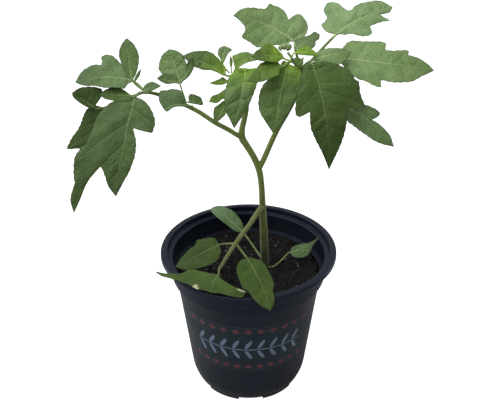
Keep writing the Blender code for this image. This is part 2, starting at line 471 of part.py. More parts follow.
def pot_profile():
    """Outer and inner halves of the pot's section: rim lip, collar, tapered wall, ringed foot."""
    skirt_bottom = POT_HEIGHT - RIM_SKIRT
    lip_under = POT_HEIGHT - RIM_THICKNESS
    mouth_bottom = POT_HEIGHT - MOUTH_DEPTH
    foot_inner = FOOT_RADIUS - FOOT_RING_WIDTH
    floor_top = FLOOR_HEIGHT + FLOOR_THICKNESS
    outside = [(RIM_MOUTH_RADIUS + 0.8, POT_HEIGHT)]
    outside += quarter((RIM_RADIUS - 1.2, POT_HEIGHT - 1.2), 1.2, 90, 0, 3)
    outside += [
        (RIM_RADIUS, skirt_bottom),
        (RIM_RADIUS - WALL, skirt_bottom),
        (RIM_RADIUS - WALL, lip_under),
        (RIM_MOUTH_RADIUS + WALL, lip_under),
        (RIM_MOUTH_RADIUS + WALL, mouth_bottom - 0.4),
        (COLLAR_RADIUS + 0.2, mouth_bottom - 1.6),
        (COLLAR_RADIUS, COLLAR_BOTTOM + 0.6),
        (COLLAR_RADIUS - 0.6, COLLAR_BOTTOM),
        (wall_radius(COLLAR_BOTTOM) + 0.2, COLLAR_BOTTOM - 0.6),
    ]
    outside += [(wall_radius(h), h) for h in (78, 60, 40, 20)]
    outside += quarter((wall_radius(FOOT_CORNER) - FOOT_CORNER, FOOT_CORNER), FOOT_CORNER, 0, -55, 3)
    underside = [
        (FOOT_RADIUS, -FOOT_HEIGHT + 0.6),
        (FOOT_RADIUS - 0.6, -FOOT_HEIGHT),
        (foot_inner, -FOOT_HEIGHT),
        (foot_inner - 1.0, FLOOR_HEIGHT),
        (BASE_PAD_RADIUS + 1.5, FLOOR_HEIGHT),
        (BASE_PAD_RADIUS, -FOOT_HEIGHT),
        (0.0, -FOOT_HEIGHT),
    ]
    inside = [
        (0.0, floor_top),
        (wall_radius(floor_top) - WALL - 3.0, floor_top),
        (wall_radius(floor_top + 3.0) - WALL, floor_top + 3.0),
        (wall_radius(40) - WALL, 40),
        (wall_radius(COLLAR_BOTTOM) - WALL, COLLAR_BOTTOM + 1.2),
        (COLLAR_RADIUS - WALL, COLLAR_BOTTOM + 2.2),
        (COLLAR_RADIUS - WALL + 0.2, mouth_bottom - 0.2),
        (RIM_MOUTH_RADIUS, mouth_bottom + 0.4),
        (RIM_MOUTH_RADIUS, POT_HEIGHT - 0.8),
    ]
    return outside + underside, inside


def inner_radius(height):
    """Radius of the pot's inside, below the ledge under the rim."""
    return wall_radius(height) - WALL


def make_pot(parts, cutters):
    outside, inside = pot_profile()
    body = turned("pot", [(0.0, POT_HEIGHT)] + outside, POT_SEGMENTS, parts, POT_PLASTIC)
    hollow_profile = [(0.0, POT_HEIGHT + 5.0), (RIM_MOUTH_RADIUS + 0.9, POT_HEIGHT + 5.0)]
    hollow_profile += [(RIM_MOUTH_RADIUS + 0.9, POT_HEIGHT)] + list(reversed(inside))
    hollow = turned("pot_hollow", hollow_profile, POT_SEGMENTS, cutters, None)
    cut(body, mark_cutter(hollow, cutters))
    for i in range(NOTCHES):
        angle = math.tau * i / NOTCHES - math.pi / 2 + math.radians(NOTCH_TURN)
        bpy.ops.mesh.primitive_cube_add(size=1.0)
        notch = bpy.context.object
        notch.name = "foot_notch_%d" % i
        notch.scale = (3 * FOOT_RING_WIDTH * MM, NOTCH_WIDTH * MM, 2 * FOOT_HEIGHT * MM)
        reach = FOOT_RADIUS * MM
        notch.location = (reach * math.cos(angle), reach * math.sin(angle), -FOOT_HEIGHT * MM)
        notch.rotation_euler = (0.0, 0.0, angle)
        cut(body, mark_cutter(notch, cutters))
    for i in range(DRAIN_HOLES):
        angle = math.tau * (i + 0.5) / DRAIN_HOLES
        bpy.ops.mesh.primitive_cylinder_add(vertices=16, radius=DRAIN_HOLE_RADIUS * MM, depth=12 * MM)
        hole = bpy.context.object
        hole.name = "drain_hole_%d" % i
        centre = DRAIN_HOLE_CIRCLE * MM
        hole.location = (centre * math.cos(angle), centre * math.sin(angle), FLOOR_HEIGHT * MM)
        cut(body, mark_cutter(hole, cutters))
    return body


def make_soil(parts, cutters):
    """The root ball: it fills the pot with a small gap and has an uneven top and a hole for the stem."""
    floor = FLOOR_HEIGHT + FLOOR_THICKNESS + GAP
    rings = [8, 16, 24, 32, 40, 46]
    edge = inner_radius(SOIL_LEVEL) - SOIL_CLEARANCE
    profile = [(0.0, SOIL_LEVEL)] + [(r, SOIL_LEVEL) for r in rings] + [(edge, SOIL_LEVEL)]
    shoulder = floor + 3.4
    profile += [(inner_radius(40) - SOIL_CLEARANCE, 40)]
    profile += [(inner_radius(shoulder) - SOIL_CLEARANCE, shoulder)]
    profile += [(inner_radius(floor) - SOIL_CLEARANCE - 3.4, floor), (0.0, floor)]
    soil = turned("soil", profile, SOIL_SEGMENTS, parts, COMPOST)
    depsgraph = bpy.context.evaluated_depsgraph_get()
    mesh = bpy.data.meshes.new_from_object(soil.evaluated_get(depsgraph))
    soil.modifiers.clear()
    soil.data = mesh
    for vertex in mesh.vertices:
        radius = math.hypot(vertex.co.x, vertex.co.y) / MM
        if vertex.co.z / MM > SOIL_LEVEL - 1.0 and radius < edge - 1.0:
            lump = noise.noise(vertex.co * 70.0) + 0.5 * noise.noise(vertex.co * 190.0)
            vertex.co.z += lump * SOIL_RELIEF * MM
    stem_x, stem_y, stem_z, stem_radius = STEMS["main_stem"][0]
    socket_radius = STEMS["main_stem"][1][3] + SOIL_CLEARANCE
    depth = 40.0
    bpy.ops.mesh.primitive_cylinder_add(vertices=16, radius=socket_radius * MM, depth=depth * MM)
    socket = bpy.context.object
    socket.name = "stem_socket"
    socket.location = (stem_x * MM, stem_y * MM, (stem_z - 2 * GAP + depth / 2) * MM)
    cut(soil, mark_cutter(socket, cutters))
    return soil


def smooth_route(points, steps):
    """A smooth curve through the points, with the radius carried along as a fourth value."""
    padded = [points[0]] + list(points) + [points[-1]]
    route = []
    for i in range(1, len(padded) - 2):
        for j in range(steps):
            t = j / steps
            weights = (
                0.5 * (-t + 2 * t * t - t ** 3),
                0.5 * (2 - 5 * t * t + 3 * t ** 3),
                0.5 * (t + 4 * t * t - 3 * t ** 3),
                0.5 * (-t * t + t ** 3),
            )
            near = padded[i - 1:i + 3]
            route.append(tuple(sum(w * p[k] for w, p in zip(weights, near)) for k in range(4)))
    route.append(tuple(points[-1]))
    return route


def make_stem(name, points, parts):
    """A tapering tube with closed ends along a smooth route."""
    route = smooth_route(points, 2)
    curve = bpy.data.curves.new(name, "CURVE")
    curve.dimensions = "3D"
    curve.bevel_depth = MM
    curve.bevel_resolution = 2
    curve.use_fill_caps = True
    spline = curve.splines.new("POLY")
    spline.points.add(len(route) - 1)
    for point, (x, y, z, radius) in zip(spline.points, route):
        point.co = (x * MM, y * MM, z * MM, 1.0)
        point.radius = radius
    return add_object(name, curve, parts, STEM_GREEN)


def bezier_chain(points, t):
    """A point at t (0 to 1) on the smooth line through 2, 3 or 4 points; it runs on straight beyond."""
    inside = min(max(t, 0.0), 1.0)
    count = len(points) - 1
    place = Vector((0.0, 0.0, 0.0))
    for i, point in enumerate(points):
        weight = 1.0
        for j in range(count + 1):
            if j != i:
                weight *= (inside * count - j) / (i - j)
        place += Vector(point) * weight
    if t != inside:
        step = 0.02
        other = bezier_chain(points, inside + (step if t < 0.5 else -step))
        direction = (place - other) / step
        place += direction * abs(t - inside)
    return place


class Blade:
    """One leaflet's sheet: a bent midrib with a left and a right half."""

    def __init__(self, leaf):
        self.points = leaf["midrib"]
        self.faces = [Vector(face) for face in leaf["face"]]
        self.fold = leaf["fold"]
        self.curl = leaf["curl"]

    def frame(self, along):
        step = 0.02
        tangent = bezier_chain(self.points, along + step) - bezier_chain(self.points, along - step)
        tangent.normalize()
        blend = min(max(along, 0.0), 1.0)
        face = self.faces[0].lerp(self.faces[-1], blend)
        normal = (face - tangent * face.dot(tangent)).normalized()
        return normal, normal.cross(tangent)

    def point(self, along, out, side):
        """The place of a spot `along` the midrib and `out` from it; side is 1 left, -1 right."""
        normal, left = self.frame(along)
        index = 0 if side > 0 else 1
        angle = math.radians(self.fold[index])
        lift = out * math.sin(angle) - self.curl[index] * MM * out * out
        return bezier_chain(self.points, along) + left * side * out * math.cos(angle) + normal * lift


def margin_at(margin, start):
    """Where the side vein that leaves the midrib at `start` reaches the margin."""
    for low, high in zip(margin, margin[1:]):
        if start <= high[0]:
            blend = (start - low[0]) / max(high[0] - low[0], 1e-6)
            return [a + (b - a) * blend for a, b in zip(low, high)][1:]
    return margin[-1][1:]


def leaf_rows(leaf):
    """The starts on the midrib that both margins need, spaced so that no two are too close."""
    starts = sorted({0.0, 1.0} | {point[0] for side in ("left", "right") for point in leaf[side]})
    rows = [0.0]
    for start in starts[1:-1]:
        if start - rows[-1] > 0.035 and start < 0.96:
            rows.append(start)
    rows.append(1.0)
    return rows


def make_leaflet(name, leaf, parts):
    blade = Blade(leaf)
    margins = {}
    for side, key in ((1, "left"), (-1, "right")):
        margin = list(leaf[key])
        if margin[0][0] > 0.0:
            margin.insert(0, (0.0, 0.0, STALK_HALF_WIDTH))
        margins[side] = margin + [(1.0, 1.0, TIP_HALF_WIDTH)]
    start = Vector(leaf["stalk"])
    base = bezier_chain(blade.points, 0.0)
    reach = base - start
    first = start + reach * min(leaf["clear"] / reach.length, 0.8)
    last = base - reach * min(0.8 / reach.length, 0.1)
    normal, left = blade.frame(0.0)
    across = left if abs(reach.normalized().dot(left)) < 0.8 else normal
    across = (across - reach.normalized() * across.dot(reach.normalized())).normalized()
    rows = leaf_rows(leaf)
    cells = CELLS_PER_SIDE if any(leaf["curl"]) else 1
    columns = 2 * cells
    count = len(rows) + 2
    grid = bmesh.new()
    bmesh.ops.create_grid(grid, x_segments=columns, y_segments=count - 1, size=1.0)
    for vertex in grid.verts:
        column = round((vertex.co.x + 1.0) / 2.0 * columns) - cells
        row = round((vertex.co.y + 1.0) / 2.0 * (count - 1))
        share = abs(column) / cells
        side = 1 if column < 0 else -1
        if row < 2:
            centre = first if row == 0 else last
            place = centre + across * side * share * STALK_HALF_WIDTH
        else:
            vein = rows[row - 2]
            along, out = margin_at(margins[side], vein)
            place = blade.point(vein + (along - vein) * share, out * share, side)
        vertex.co = place * MM
    mesh = bpy.data.meshes.new(name)
    grid.to_mesh(mesh)
    grid.free()
    obj = add_object(name, mesh, parts, YOUNG_GREEN if name in YOUNG else LEAF_GREEN)
    solid = obj.modifiers.new("thickness", "SOLIDIFY")
    solid.thickness = BLADE_THICKNESS * MM
    solid.offset = 0.0
    return obj


def make_bud(parts):
    """The tight young tip between the top leaves."""
    mesh = bpy.data.meshes.new("young_bud")
    ball = bmesh.new()
    bmesh.ops.create_uvsphere(ball, u_segments=10, v_segments=6, radius=BUD_RADIUS * MM)
    for vertex in ball.verts:
        vertex.co = Vector([size * share for size, share in zip(vertex.co, BUD_SHAPE)])
        vertex.co += Vector(BUD_CENTRE) * MM
    ball.to_mesh(mesh)
    ball.free()
    return add_object("young_bud", mesh, parts, YOUNG_GREEN)


def lift(*collections):
    """Stand everything on its feet: an empty carries all pieces up by the height of the feet."""
    stand = bpy.data.objects.new("stand", None)
    collections[0].objects.link(stand)
    for collection in collections:
        for obj in collection.objects:
            if obj != stand:
                obj.parent = stand
    stand.location.z = FOOT_HEIGHT * MM


def main():
    clear_scene()
    parts = make_collection("cherry_tomato_plant")
    cutters = make_collection("cutters")
    make_pot(parts, cutters)
    make_soil(parts, cutters)
    for name, points in STEMS.items():
        make_stem(name, points, parts)
    for name, leaf in LEAFLETS.items():
        make_leaflet(name, leaf, parts)
    make_bud(parts)
    lift(parts, cutters)


main()
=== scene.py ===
import math
import re

import bmesh
import bpy
import numpy as np
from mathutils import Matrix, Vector, noise
from mathutils.kdtree import KDTree


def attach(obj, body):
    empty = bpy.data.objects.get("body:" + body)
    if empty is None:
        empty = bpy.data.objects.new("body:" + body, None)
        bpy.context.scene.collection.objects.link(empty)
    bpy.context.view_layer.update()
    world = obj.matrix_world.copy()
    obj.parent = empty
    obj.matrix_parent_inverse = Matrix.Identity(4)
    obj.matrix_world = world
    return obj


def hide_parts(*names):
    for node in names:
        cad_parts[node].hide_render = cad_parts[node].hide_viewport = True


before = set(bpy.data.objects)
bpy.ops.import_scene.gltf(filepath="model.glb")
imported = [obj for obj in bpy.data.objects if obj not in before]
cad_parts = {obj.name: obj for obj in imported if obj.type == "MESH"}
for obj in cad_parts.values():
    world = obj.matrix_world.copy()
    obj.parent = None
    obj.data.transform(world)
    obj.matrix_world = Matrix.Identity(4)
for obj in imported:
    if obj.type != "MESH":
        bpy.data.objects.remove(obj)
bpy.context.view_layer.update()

mm = 0.001
footHeight = 2.8        # the pot's wall stands this far above the ground, on its foot ring
# Heights in the tables below are measured from the underside of the pot's wall, in millimetres.


def addPiece(name, mesh, materials=(), sharp=None):
    piece = bpy.data.objects.new(name, mesh)
    bpy.context.scene.collection.objects.link(piece)
    for material in materials:
        mesh.materials.append(material)
    mesh.shade_smooth()
    if sharp:
        mesh.set_sharp_from_angle(angle=math.radians(sharp))
    return piece


def standMesh(name, points, faces):
    mesh = bpy.data.meshes.new(name)
    lifted = (np.asarray(points, float) + (0, 0, footHeight)) * mm
    mesh.from_pydata(lifted.tolist(), [], faces)
    mesh.validate()
    return mesh


def storeAttribute(mesh, name, values):
    values = np.asarray(values, np.float32)
    kind = "FLOAT_VECTOR" if values.ndim == 2 else "FLOAT"
    attribute = mesh.attributes.new(name, kind, "POINT")
    attribute.data.foreach_set("vector" if kind == "FLOAT_VECTOR" else "value", values.ravel())


def settle(piece):
    # the evaluated result becomes a plain mesh and the modifiers go
    depsgraph = bpy.context.evaluated_depsgraph_get()
    mesh = bpy.data.meshes.new_from_object(piece.evaluated_get(depsgraph), depsgraph=depsgraph)
    old = piece.data
    if piece.type == "MESH":
        piece.modifiers.clear()
        piece.data = mesh
        return piece
    name = piece.name
    bpy.data.objects.remove(piece)
    bpy.data.curves.remove(old)
    return addPiece(name, mesh)


def feed(tree, node, feeds):
    for socket, value in feeds.items():
        if isinstance(value, bpy.types.NodeSocket):
            tree.links.new(value, node.inputs[socket])
        else:
            node.inputs[socket].default_value = value


def place(tree, kind, feeds=None, **settings):
    node = tree.nodes.new(kind)
    for key, value in settings.items():
        setattr(node, key, value)
    feed(tree, node, feeds or {})
    return node


def sums(tree, operation, first, second=0.0, third=None, clamp=False):
    feeds = {0: first, 1: second}
    if third is not None:
        feeds[2] = third
    return place(tree, "ShaderNodeMath", feeds, operation=operation, use_clamp=clamp).outputs[0]


def times(tree, first, second):
    return sums(tree, "MULTIPLY", first, second)


def parts(tree, vector):
    return place(tree, "ShaderNodeSeparateXYZ", {0: vector}).outputs


def combine(tree, *values):
    return place(tree, "ShaderNodeCombineXYZ", dict(enumerate(values))).outputs[0]


def clouds(tree, where, scale, detail=2.0, **more):
    feeds = {"Vector": where, "Scale": scale, "Detail": detail, **more}
    return place(tree, "ShaderNodeTexNoise", feeds).outputs["Fac"]


def blendColour(tree, factor, first, second, blend="MIX"):
    feeds = {0: factor, 6: first, 7: second}
    return place(tree, "ShaderNodeMix", feeds, data_type="RGBA", blend_type=blend).outputs[2]


def glaze(tree, colour, mask, amount, shade):
    # a thin coat of another shade where the mask is
    return blendColour(tree, times(tree, mask, amount), colour, linear(*shade))


def stretch(tree, value, low, high, toLow=0.0, toHigh=1.0, smooth=True):
    feeds = {"Value": value, "From Min": low, "From Max": high, "To Min": toLow, "To Max": toHigh}
    kind = "SMOOTHSTEP" if smooth else "LINEAR"
    return place(tree, "ShaderNodeMapRange", feeds, interpolation_type=kind).outputs[0]


def startGroup(name, inputs, outputs, kind="ShaderNodeTree"):
    tree = bpy.data.node_groups.new(name, kind)
    for label, socket, value in inputs:
        item = tree.interface.new_socket(label, in_out="INPUT", socket_type=socket)
        if value is not None:
            item.default_value = value
    for label, socket in outputs:
        tree.interface.new_socket(label, in_out="OUTPUT", socket_type=socket)
    source = tree.nodes.new("NodeGroupInput")
    sink = tree.nodes.new("NodeGroupOutput")
    return tree, source.outputs, sink.inputs


def startShading(name, vectors, numbers, results):
    inputs = [(label, "NodeSocketVector", None) for label in vectors]
    inputs += [(label, "NodeSocketFloat", value) for label, value in numbers.items()]
    return startGroup(name, inputs, [(label, "NodeSocketFloat") for label in results])


def useGroup(tree, group, **feeds):
    node = tree.nodes.new("ShaderNodeGroup")
    node.node_tree = group
    feed(tree, node, feeds)
    return node.outputs


def mottled(tree, where, scale, contrast=0.5):
    return useGroup(tree, mottling, Place=where, Scale=scale, Contrast=contrast)["Mask"]


def finishSkin(tree, shader, colour, rough, tall, strength, distance):
    bump = place(tree, "ShaderNodeBump", {"Height": tall, "Strength": strength, "Distance": distance})
    for socket, value in (("Base Color", colour), ("Roughness", rough), ("Normal", bump.outputs[0])):
        tree.links.new(value, shader.inputs[socket])


def startMaterial(name, **constants):
    material = bpy.data.materials.new(name)
    material.use_nodes = True
    tree = material.node_tree
    shader = tree.nodes["Principled BSDF"]
    for label, value in constants.items():
        shader.inputs[spoken(label)].default_value = value
    return material, tree, shader


def spoken(label):
    # sheenWeight -> Sheen Weight
    words = re.sub(r"(?<=[a-z])(?=[A-Z])|(?<=[A-Z])(?=[A-Z][a-z])", " ", label)
    return words[0].upper() + words[1:]


def nodeName(label):
    # centreLeaflet -> centre_leaflet
    return "".join("_" + c.lower() if c.isupper() else c for c in label)


def readAttribute(tree, name, output="Fac"):
    return place(tree, "ShaderNodeAttribute", attribute_name=name).outputs[output]


def objectPlace(tree):
    return tree.nodes.new("ShaderNodeTexCoord").outputs["Object"]


def linear(red, green, blue):
    # a colour given in 0..255 screen values
    def channel(value):
        value /= 255.0
        return value / 12.92 if value <= 0.04045 else ((value + 0.055) / 1.055) ** 2.4
    return (channel(red), channel(green), channel(blue), 1.0)


# Shared effects. Each is built once and placed in every material that shows it.
def makeFineGrain():
    tree, given, out = startShading("fineGrain", ["Place"], {"Scale": 900.0}, ["Mask", "Height"])
    first = clouds(tree, given["Place"], given["Scale"], 3.0, Roughness=0.6)
    coarse = times(tree, given["Scale"], 0.31)
    second = clouds(tree, given["Place"], coarse)
    height = sums(tree, "ADD", times(tree, first, 0.6), times(tree, second, 0.4))
    tree.links.new(height, out["Height"])
    tree.links.new(stretch(tree, height, 0.42, 0.58), out["Mask"])
    return tree


def makeMottling():
    tree, given, out = startShading("mottling", ["Place"], {"Scale": 60.0, "Contrast": 0.5}, ["Mask"])
    noiseOut = clouds(tree, given["Place"], given["Scale"], 4.0, Roughness=0.62, Distortion=0.4)
    half = sums(tree, "MULTIPLY_ADD", given["Contrast"], -0.32, 0.36)
    low, high = sums(tree, "SUBTRACT", 0.5, half), sums(tree, "ADD", 0.5, half)
    tree.links.new(stretch(tree, noiseOut, low, high), out["Mask"])
    return tree


def makeSettledDust():
    # fine dust and crumbs that lie on what faces up
    tree, given, out = startShading("settledDust", ["Place"], {"Amount": 0.5}, ["Mask"])
    normal = tree.nodes.new("ShaderNodeNewGeometry").outputs["Normal"]
    up = stretch(tree, parts(tree, normal)["Z"], 0.3, 0.95)
    speck = clouds(tree, given["Place"], 420.0, 5.0, Roughness=0.7)
    drift = clouds(tree, given["Place"], 55.0)
    mask = times(tree, stretch(tree, speck, 0.5, 0.68), stretch(tree, drift, 0.4, 0.65))
    mask = times(tree, mask, up)
    tree.links.new(times(tree, mask, given["Amount"]), out["Mask"])
    return tree


def makeScuffing():
    # short pale rub marks that run round the pot
    tree, given, out = startShading("scuffing", ["Place"], {"Amount": 0.5}, ["Mask"])
    part = parts(tree, given["Place"])
    turn = sums(tree, "ARCTAN2", part["Y"], part["X"])
    flat = combine(tree, times(tree, turn, 0.05), part["Z"])
    squeezed = place(tree, "ShaderNodeMapping", {"Vector": flat, "Scale": (60.0, 900.0, 1.0)}).outputs[0]
    line = clouds(tree, squeezed, 1.0, 3.0)
    where = clouds(tree, given["Place"], 70.0, 3.0)
    mask = times(tree, stretch(tree, line, 0.62, 0.75), stretch(tree, where, 0.55, 0.7))
    tree.links.new(times(tree, mask, given["Amount"]), out["Mask"])
    return tree


def makeVeinNet():
    # rib, side veins and the fine net between them, from what each blade stores on its points
    tree, given, out = startShading("veinNet", ["Run", "Spot"], {"Rib Width": 0.45, "Vein Width": 0.24},
                                    ["Rib", "Veins", "Net", "Edge", "Cells"])
    run = parts(tree, given["Run"])
    spot = parts(tree, given["Spot"])
    phase, pitch, fromRib = run["X"], run["Y"], run["Z"]
    along, across, toEdge = spot["X"], spot["Y"], spot["Z"]
    wander = clouds(tree, given["Spot"], 0.16)
    phase = sums(tree, "ADD", phase, sums(tree, "MULTIPLY_ADD", wander, 0.3, -0.15))
    half = sums(tree, "ADD", phase, 0.5)
    offset = sums(tree, "ABSOLUTE", sums(tree, "SUBTRACT", sums(tree, "FRACT", half), 0.5))
    gap = times(tree, offset, pitch)
    edgeFade = stretch(tree, toEdge, 0.3, 5.0)
    width = times(tree, given["Vein Width"], sums(tree, "MULTIPLY_ADD", edgeFade, 0.75, 0.25))
    veins = stretch(tree, sums(tree, "DIVIDE", gap, width), 1.0, 0.35)
    tree.links.new(times(tree, veins, stretch(tree, toEdge, 0.2, 2.5)), out["Veins"])
    tree.links.new(stretch(tree, sums(tree, "DIVIDE", fromRib, given["Rib Width"]), 1.0, 0.45), out["Rib"])
    flat = combine(tree, along, across)
    shaken = place(tree, "ShaderNodeTexNoise",
                   {"Vector": flat, "Scale": 0.7, "Detail": 1.0}).outputs["Color"]
    bent = place(tree, "ShaderNodeVectorMath", {0: shaken, 1: (0.9, 0.9, 0.0), 2: flat},
                 operation="MULTIPLY_ADD").outputs[0]
    cells = place(tree, "ShaderNodeTexVoronoi", {"Vector": bent, "Scale": 0.48},
                  feature="DISTANCE_TO_EDGE", voronoi_dimensions="2D").outputs["Distance"]
    tree.links.new(stretch(tree, cells, 0.09, 0.02), out["Net"])
    tree.links.new(stretch(tree, cells, 0.0, 0.4), out["Cells"])
    # Edge masks a thin strip along the margin, which leafSkin darkens as painted shade
    tree.links.new(stretch(tree, toEdge, 0.6, 0.15), out["Edge"])
    return tree


fineGrain = makeFineGrain()
mottling = makeMottling()
settledDust = makeSettledDust()
scuffing = makeScuffing()
veinNet = makeVeinNet()
print("shared effects ready")


# Pot: one moulded shell, turned round Z from its section, then notched and drilled.
potShape = {
    "height": 103.0, "rimRadius": 60.0, "mouthRadius": 55.2, "rimSkirt": 3.2, "rimThickness": 1.4,
    "mouthDepth": 4.4, "collarRadius": 53.0, "collarBottom": 83.5, "collarBead": 90.5,
    "wallBase": 41.0, "wallSlope": 0.11, "wall": 1.2, "floorHeight": 5.0, "floorThickness": 1.6,
    "footRadius": 38.8, "footRing": 4.6, "basePad": 11.0,
    "notches": 6, "notchWidth": 17.0, "notchTurn": 2.4,
    "drainHoles": 6, "drainHoleRadius": 3.5, "drainCircle": 25.0, "segments": 192,
}


def wallRadius(height):
    return potShape["wallBase"] + potShape["wallSlope"] * height


def roundCorners(points, radii, steps=5):
    # each corner of the section is replaced by a short arc-like curve
    rounded = [points[0]]
    for i in range(1, len(points) - 1):
        here = np.array(points[i], float)
        back, ahead = np.array(points[i - 1]) - here, np.array(points[i + 1]) - here
        reach = min(radii[i], 0.45 * np.linalg.norm(back), 0.45 * np.linalg.norm(ahead))
        start = here + back / np.linalg.norm(back) * reach
        end = here + ahead / np.linalg.norm(ahead) * reach
        for j in range(steps + 1):
            t = j / steps
            rounded.append(tuple((1 - t) ** 2 * start + 2 * t * (1 - t) * here + t * t * end))
    rounded.append(points[-1])
    return rounded


def potSection():
    # (radius, height, corner rounding) from the axis inside, over the rim, to the axis underneath
    s = potShape
    top, skirt = s["height"], s["height"] - s["rimSkirt"]
    under, mouth = top - s["rimThickness"], top - s["mouthDepth"]
    collar, wall, floor = s["collarBottom"], s["wall"], s["floorHeight"] + s["floorThickness"]
    foot, inner = s["footRadius"], s["footRadius"] - s["footRing"]
    corners = [
        (0.0, floor, 0), (wallRadius(floor) - wall - 3, floor, 3),
        (wallRadius(floor + 3) - wall, floor + 3, 2),
        (wallRadius(40) - wall, 40, 1), (wallRadius(collar) - wall, collar + 1.2, 0.5),
        (s["collarRadius"] - wall, collar + 2.2, 0.5), (s["collarRadius"] - wall + 0.2, mouth - 0.2, 0.6),
        (s["mouthRadius"], mouth + 0.4, 0.5), (s["mouthRadius"], top - 0.2, 0.9),
        (s["mouthRadius"] + 1.6, top, 1.2), (s["rimRadius"], top - 0.35, 1.6),
        (s["rimRadius"], skirt, 0.35), (s["rimRadius"] - wall, skirt, 0.35),
        (s["rimRadius"] - wall, under, 0.4), (s["mouthRadius"] + wall, under, 0.4),
        (s["mouthRadius"] + wall, mouth - 0.4, 0.8), (s["collarRadius"] + 0.35, mouth - 1.6, 0.5),
        (s["collarRadius"] + 0.3, s["collarBead"] + 0.5, 0.3), (s["collarRadius"], s["collarBead"], 0.3),
        (s["collarRadius"], collar + 0.6, 0.4), (s["collarRadius"] - 0.6, collar, 0.3),
        (wallRadius(collar) + 0.2, collar - 0.6, 0.4), (wallRadius(70), 70, 1), (wallRadius(45), 45, 1),
        (wallRadius(20), 20, 1), (wallRadius(6), 6, 4), (foot + 0.2, -0.8, 2.2),
        (foot, -footHeight + 0.5, 0.3), (foot - 0.5, -footHeight, 0.3), (inner, -footHeight, 0.4),
        (inner - 1, s["floorHeight"], 1.2), (s["basePad"] + 1.5, s["floorHeight"], 1),
        (s["basePad"], -footHeight, 0.6), (0.0, -footHeight, 0),
    ]
    return roundCorners([(r, z) for r, z, _ in corners], [c for _, _, c in corners])


def revolve(section, segments):
    # closed shell about Z: the section's first and last points lie on the axis
    points, faces, rings = [(0, 0, section[0][1])], [], section[1:-1]
    for radius, height in rings:
        for j in range(segments):
            angle = math.tau * j / segments
            points.append((radius * math.cos(angle), radius * math.sin(angle), height))
    points.append((0, 0, section[-1][1]))
    spot = lambda i, j: 1 + i * segments + j % segments
    for j in range(segments):
        faces.append((0, spot(0, j), spot(0, j + 1)))
        faces.append((len(points) - 1, spot(len(rings) - 1, j + 1), spot(len(rings) - 1, j)))
        for i in range(len(rings) - 1):
            faces.append((spot(i, j), spot(i + 1, j), spot(i + 1, j + 1), spot(i, j + 1)))
    return points, faces


def closedOutwards(mesh):
    form = bmesh.new()
    form.from_mesh(mesh)
    bmesh.ops.recalc_face_normals(form, faces=form.faces)
    if form.calc_volume(signed=True) < 0:
        bmesh.ops.reverse_faces(form, faces=form.faces)
    form.to_mesh(mesh)
    form.free()
    return mesh


def makePot():
    s = potShape
    points, faces = revolve(potSection(), s["segments"])
    pot = addPiece("nurseryPot", closedOutwards(standMesh("nurseryPot", points, faces)))
    cutters = []
    for i in range(s["notches"]):
        angle = math.tau * i / s["notches"] - math.pi / 2 + math.radians(s["notchTurn"])
        bpy.ops.mesh.primitive_cube_add(size=1)
        cutter = bpy.context.object
        cutter.scale = (3 * s["footRing"] * mm, s["notchWidth"] * mm, 2 * footHeight * mm)
        reach = s["footRadius"] * mm
        cutter.location = (reach * math.cos(angle), reach * math.sin(angle), 0)
        cutter.rotation_euler = (0, 0, angle)
        bevel = cutter.modifiers.new("softCorners", "BEVEL")
        bevel.width, bevel.segments = 0.9 * mm, 4
        cutters.append(cutter)
    for i in range(s["drainHoles"]):
        angle = math.tau * (i + 0.5) / s["drainHoles"]
        radius = s["drainHoleRadius"] * mm
        bpy.ops.mesh.primitive_cylinder_add(vertices=32, radius=radius, depth=12 * mm)
        cutter = bpy.context.object
        reach = s["drainCircle"] * mm
        height = (s["floorHeight"] + footHeight) * mm
        cutter.location = (reach * math.cos(angle), reach * math.sin(angle), height)
        cutters.append(cutter)
    for cutter in cutters:
        cut = pot.modifiers.new("cut", "BOOLEAN")
        cut.operation, cut.solver, cut.object = "DIFFERENCE", "EXACT", cutter
    settle(pot)
    for cutter in cutters:
        bpy.data.objects.remove(cutter)
    pot.data.shade_smooth()
    pot.data.set_sharp_from_angle(angle=math.radians(48))
    pot.data.materials.clear()
    pot.data.materials.append(potPlastic())
    return pot


def potPlastic():
    material, tree, shader = startMaterial(
        "potPlastic", specularIORLevel=0.32, specularTint=linear(196, 216, 255))
    where = objectPlace(tree)
    part = parts(tree, where)
    height = part["Z"]
    grain = useGroup(tree, fineGrain, Place=where, Scale=1500.0)
    patches = mottled(tree, where, 38.0)
    dust = useGroup(tree, settledDust, Place=where, Amount=0.55)["Mask"]
    scuffs = useGroup(tree, scuffing, Place=where, Amount=0.5)["Mask"]
    # painted shade: the wall is glazed darker over its lower half, towards its foot
    low = stretch(tree, height, 0.0, 0.05)
    colour = blendColour(tree, patches, linear(14, 17, 24), linear(19, 23, 33))
    colour = glaze(tree, colour, sums(tree, "SUBTRACT", 1.0, low), 0.5, (13, 15, 19))
    colour = glaze(tree, colour, scuffs, 0.35, (52, 56, 66))
    colour = glaze(tree, colour, dust, 0.45, (50, 50, 50))
    # painted shade: the inside of the wall and its ledge, just above the fill, are darkened in patches and
    # made rougher
    reach = sums(tree, "SQRT", sums(tree, "ADD", times(tree, part["X"], part["X"]),
                                    times(tree, part["Y"], part["Y"])))
    innerWallShade = times(tree, stretch(tree, reach, 0.0526, 0.0521), stretch(tree, height, 0.098, 0.089))
    innerWallShade = times(tree, innerWallShade, stretch(tree, height, 0.0862, 0.0868))
    innerWallShade = times(tree, innerWallShade, stretch(tree, patches, 0.0, 1.0, 0.6, 0.95))
    colour = blendColour(tree, innerWallShade, colour, linear(16, 18, 21))
    rough = stretch(tree, patches, 0.0, 1.0, 0.36, 0.46)
    rough = sums(tree, "ADD", rough, times(tree, dust, 0.3), clamp=True)
    rough = sums(tree, "ADD", rough, times(tree, innerWallShade, 0.4), clamp=True)
    finishSkin(tree, shader, colour, rough, grain["Height"], 0.25, 0.00006)
    return material


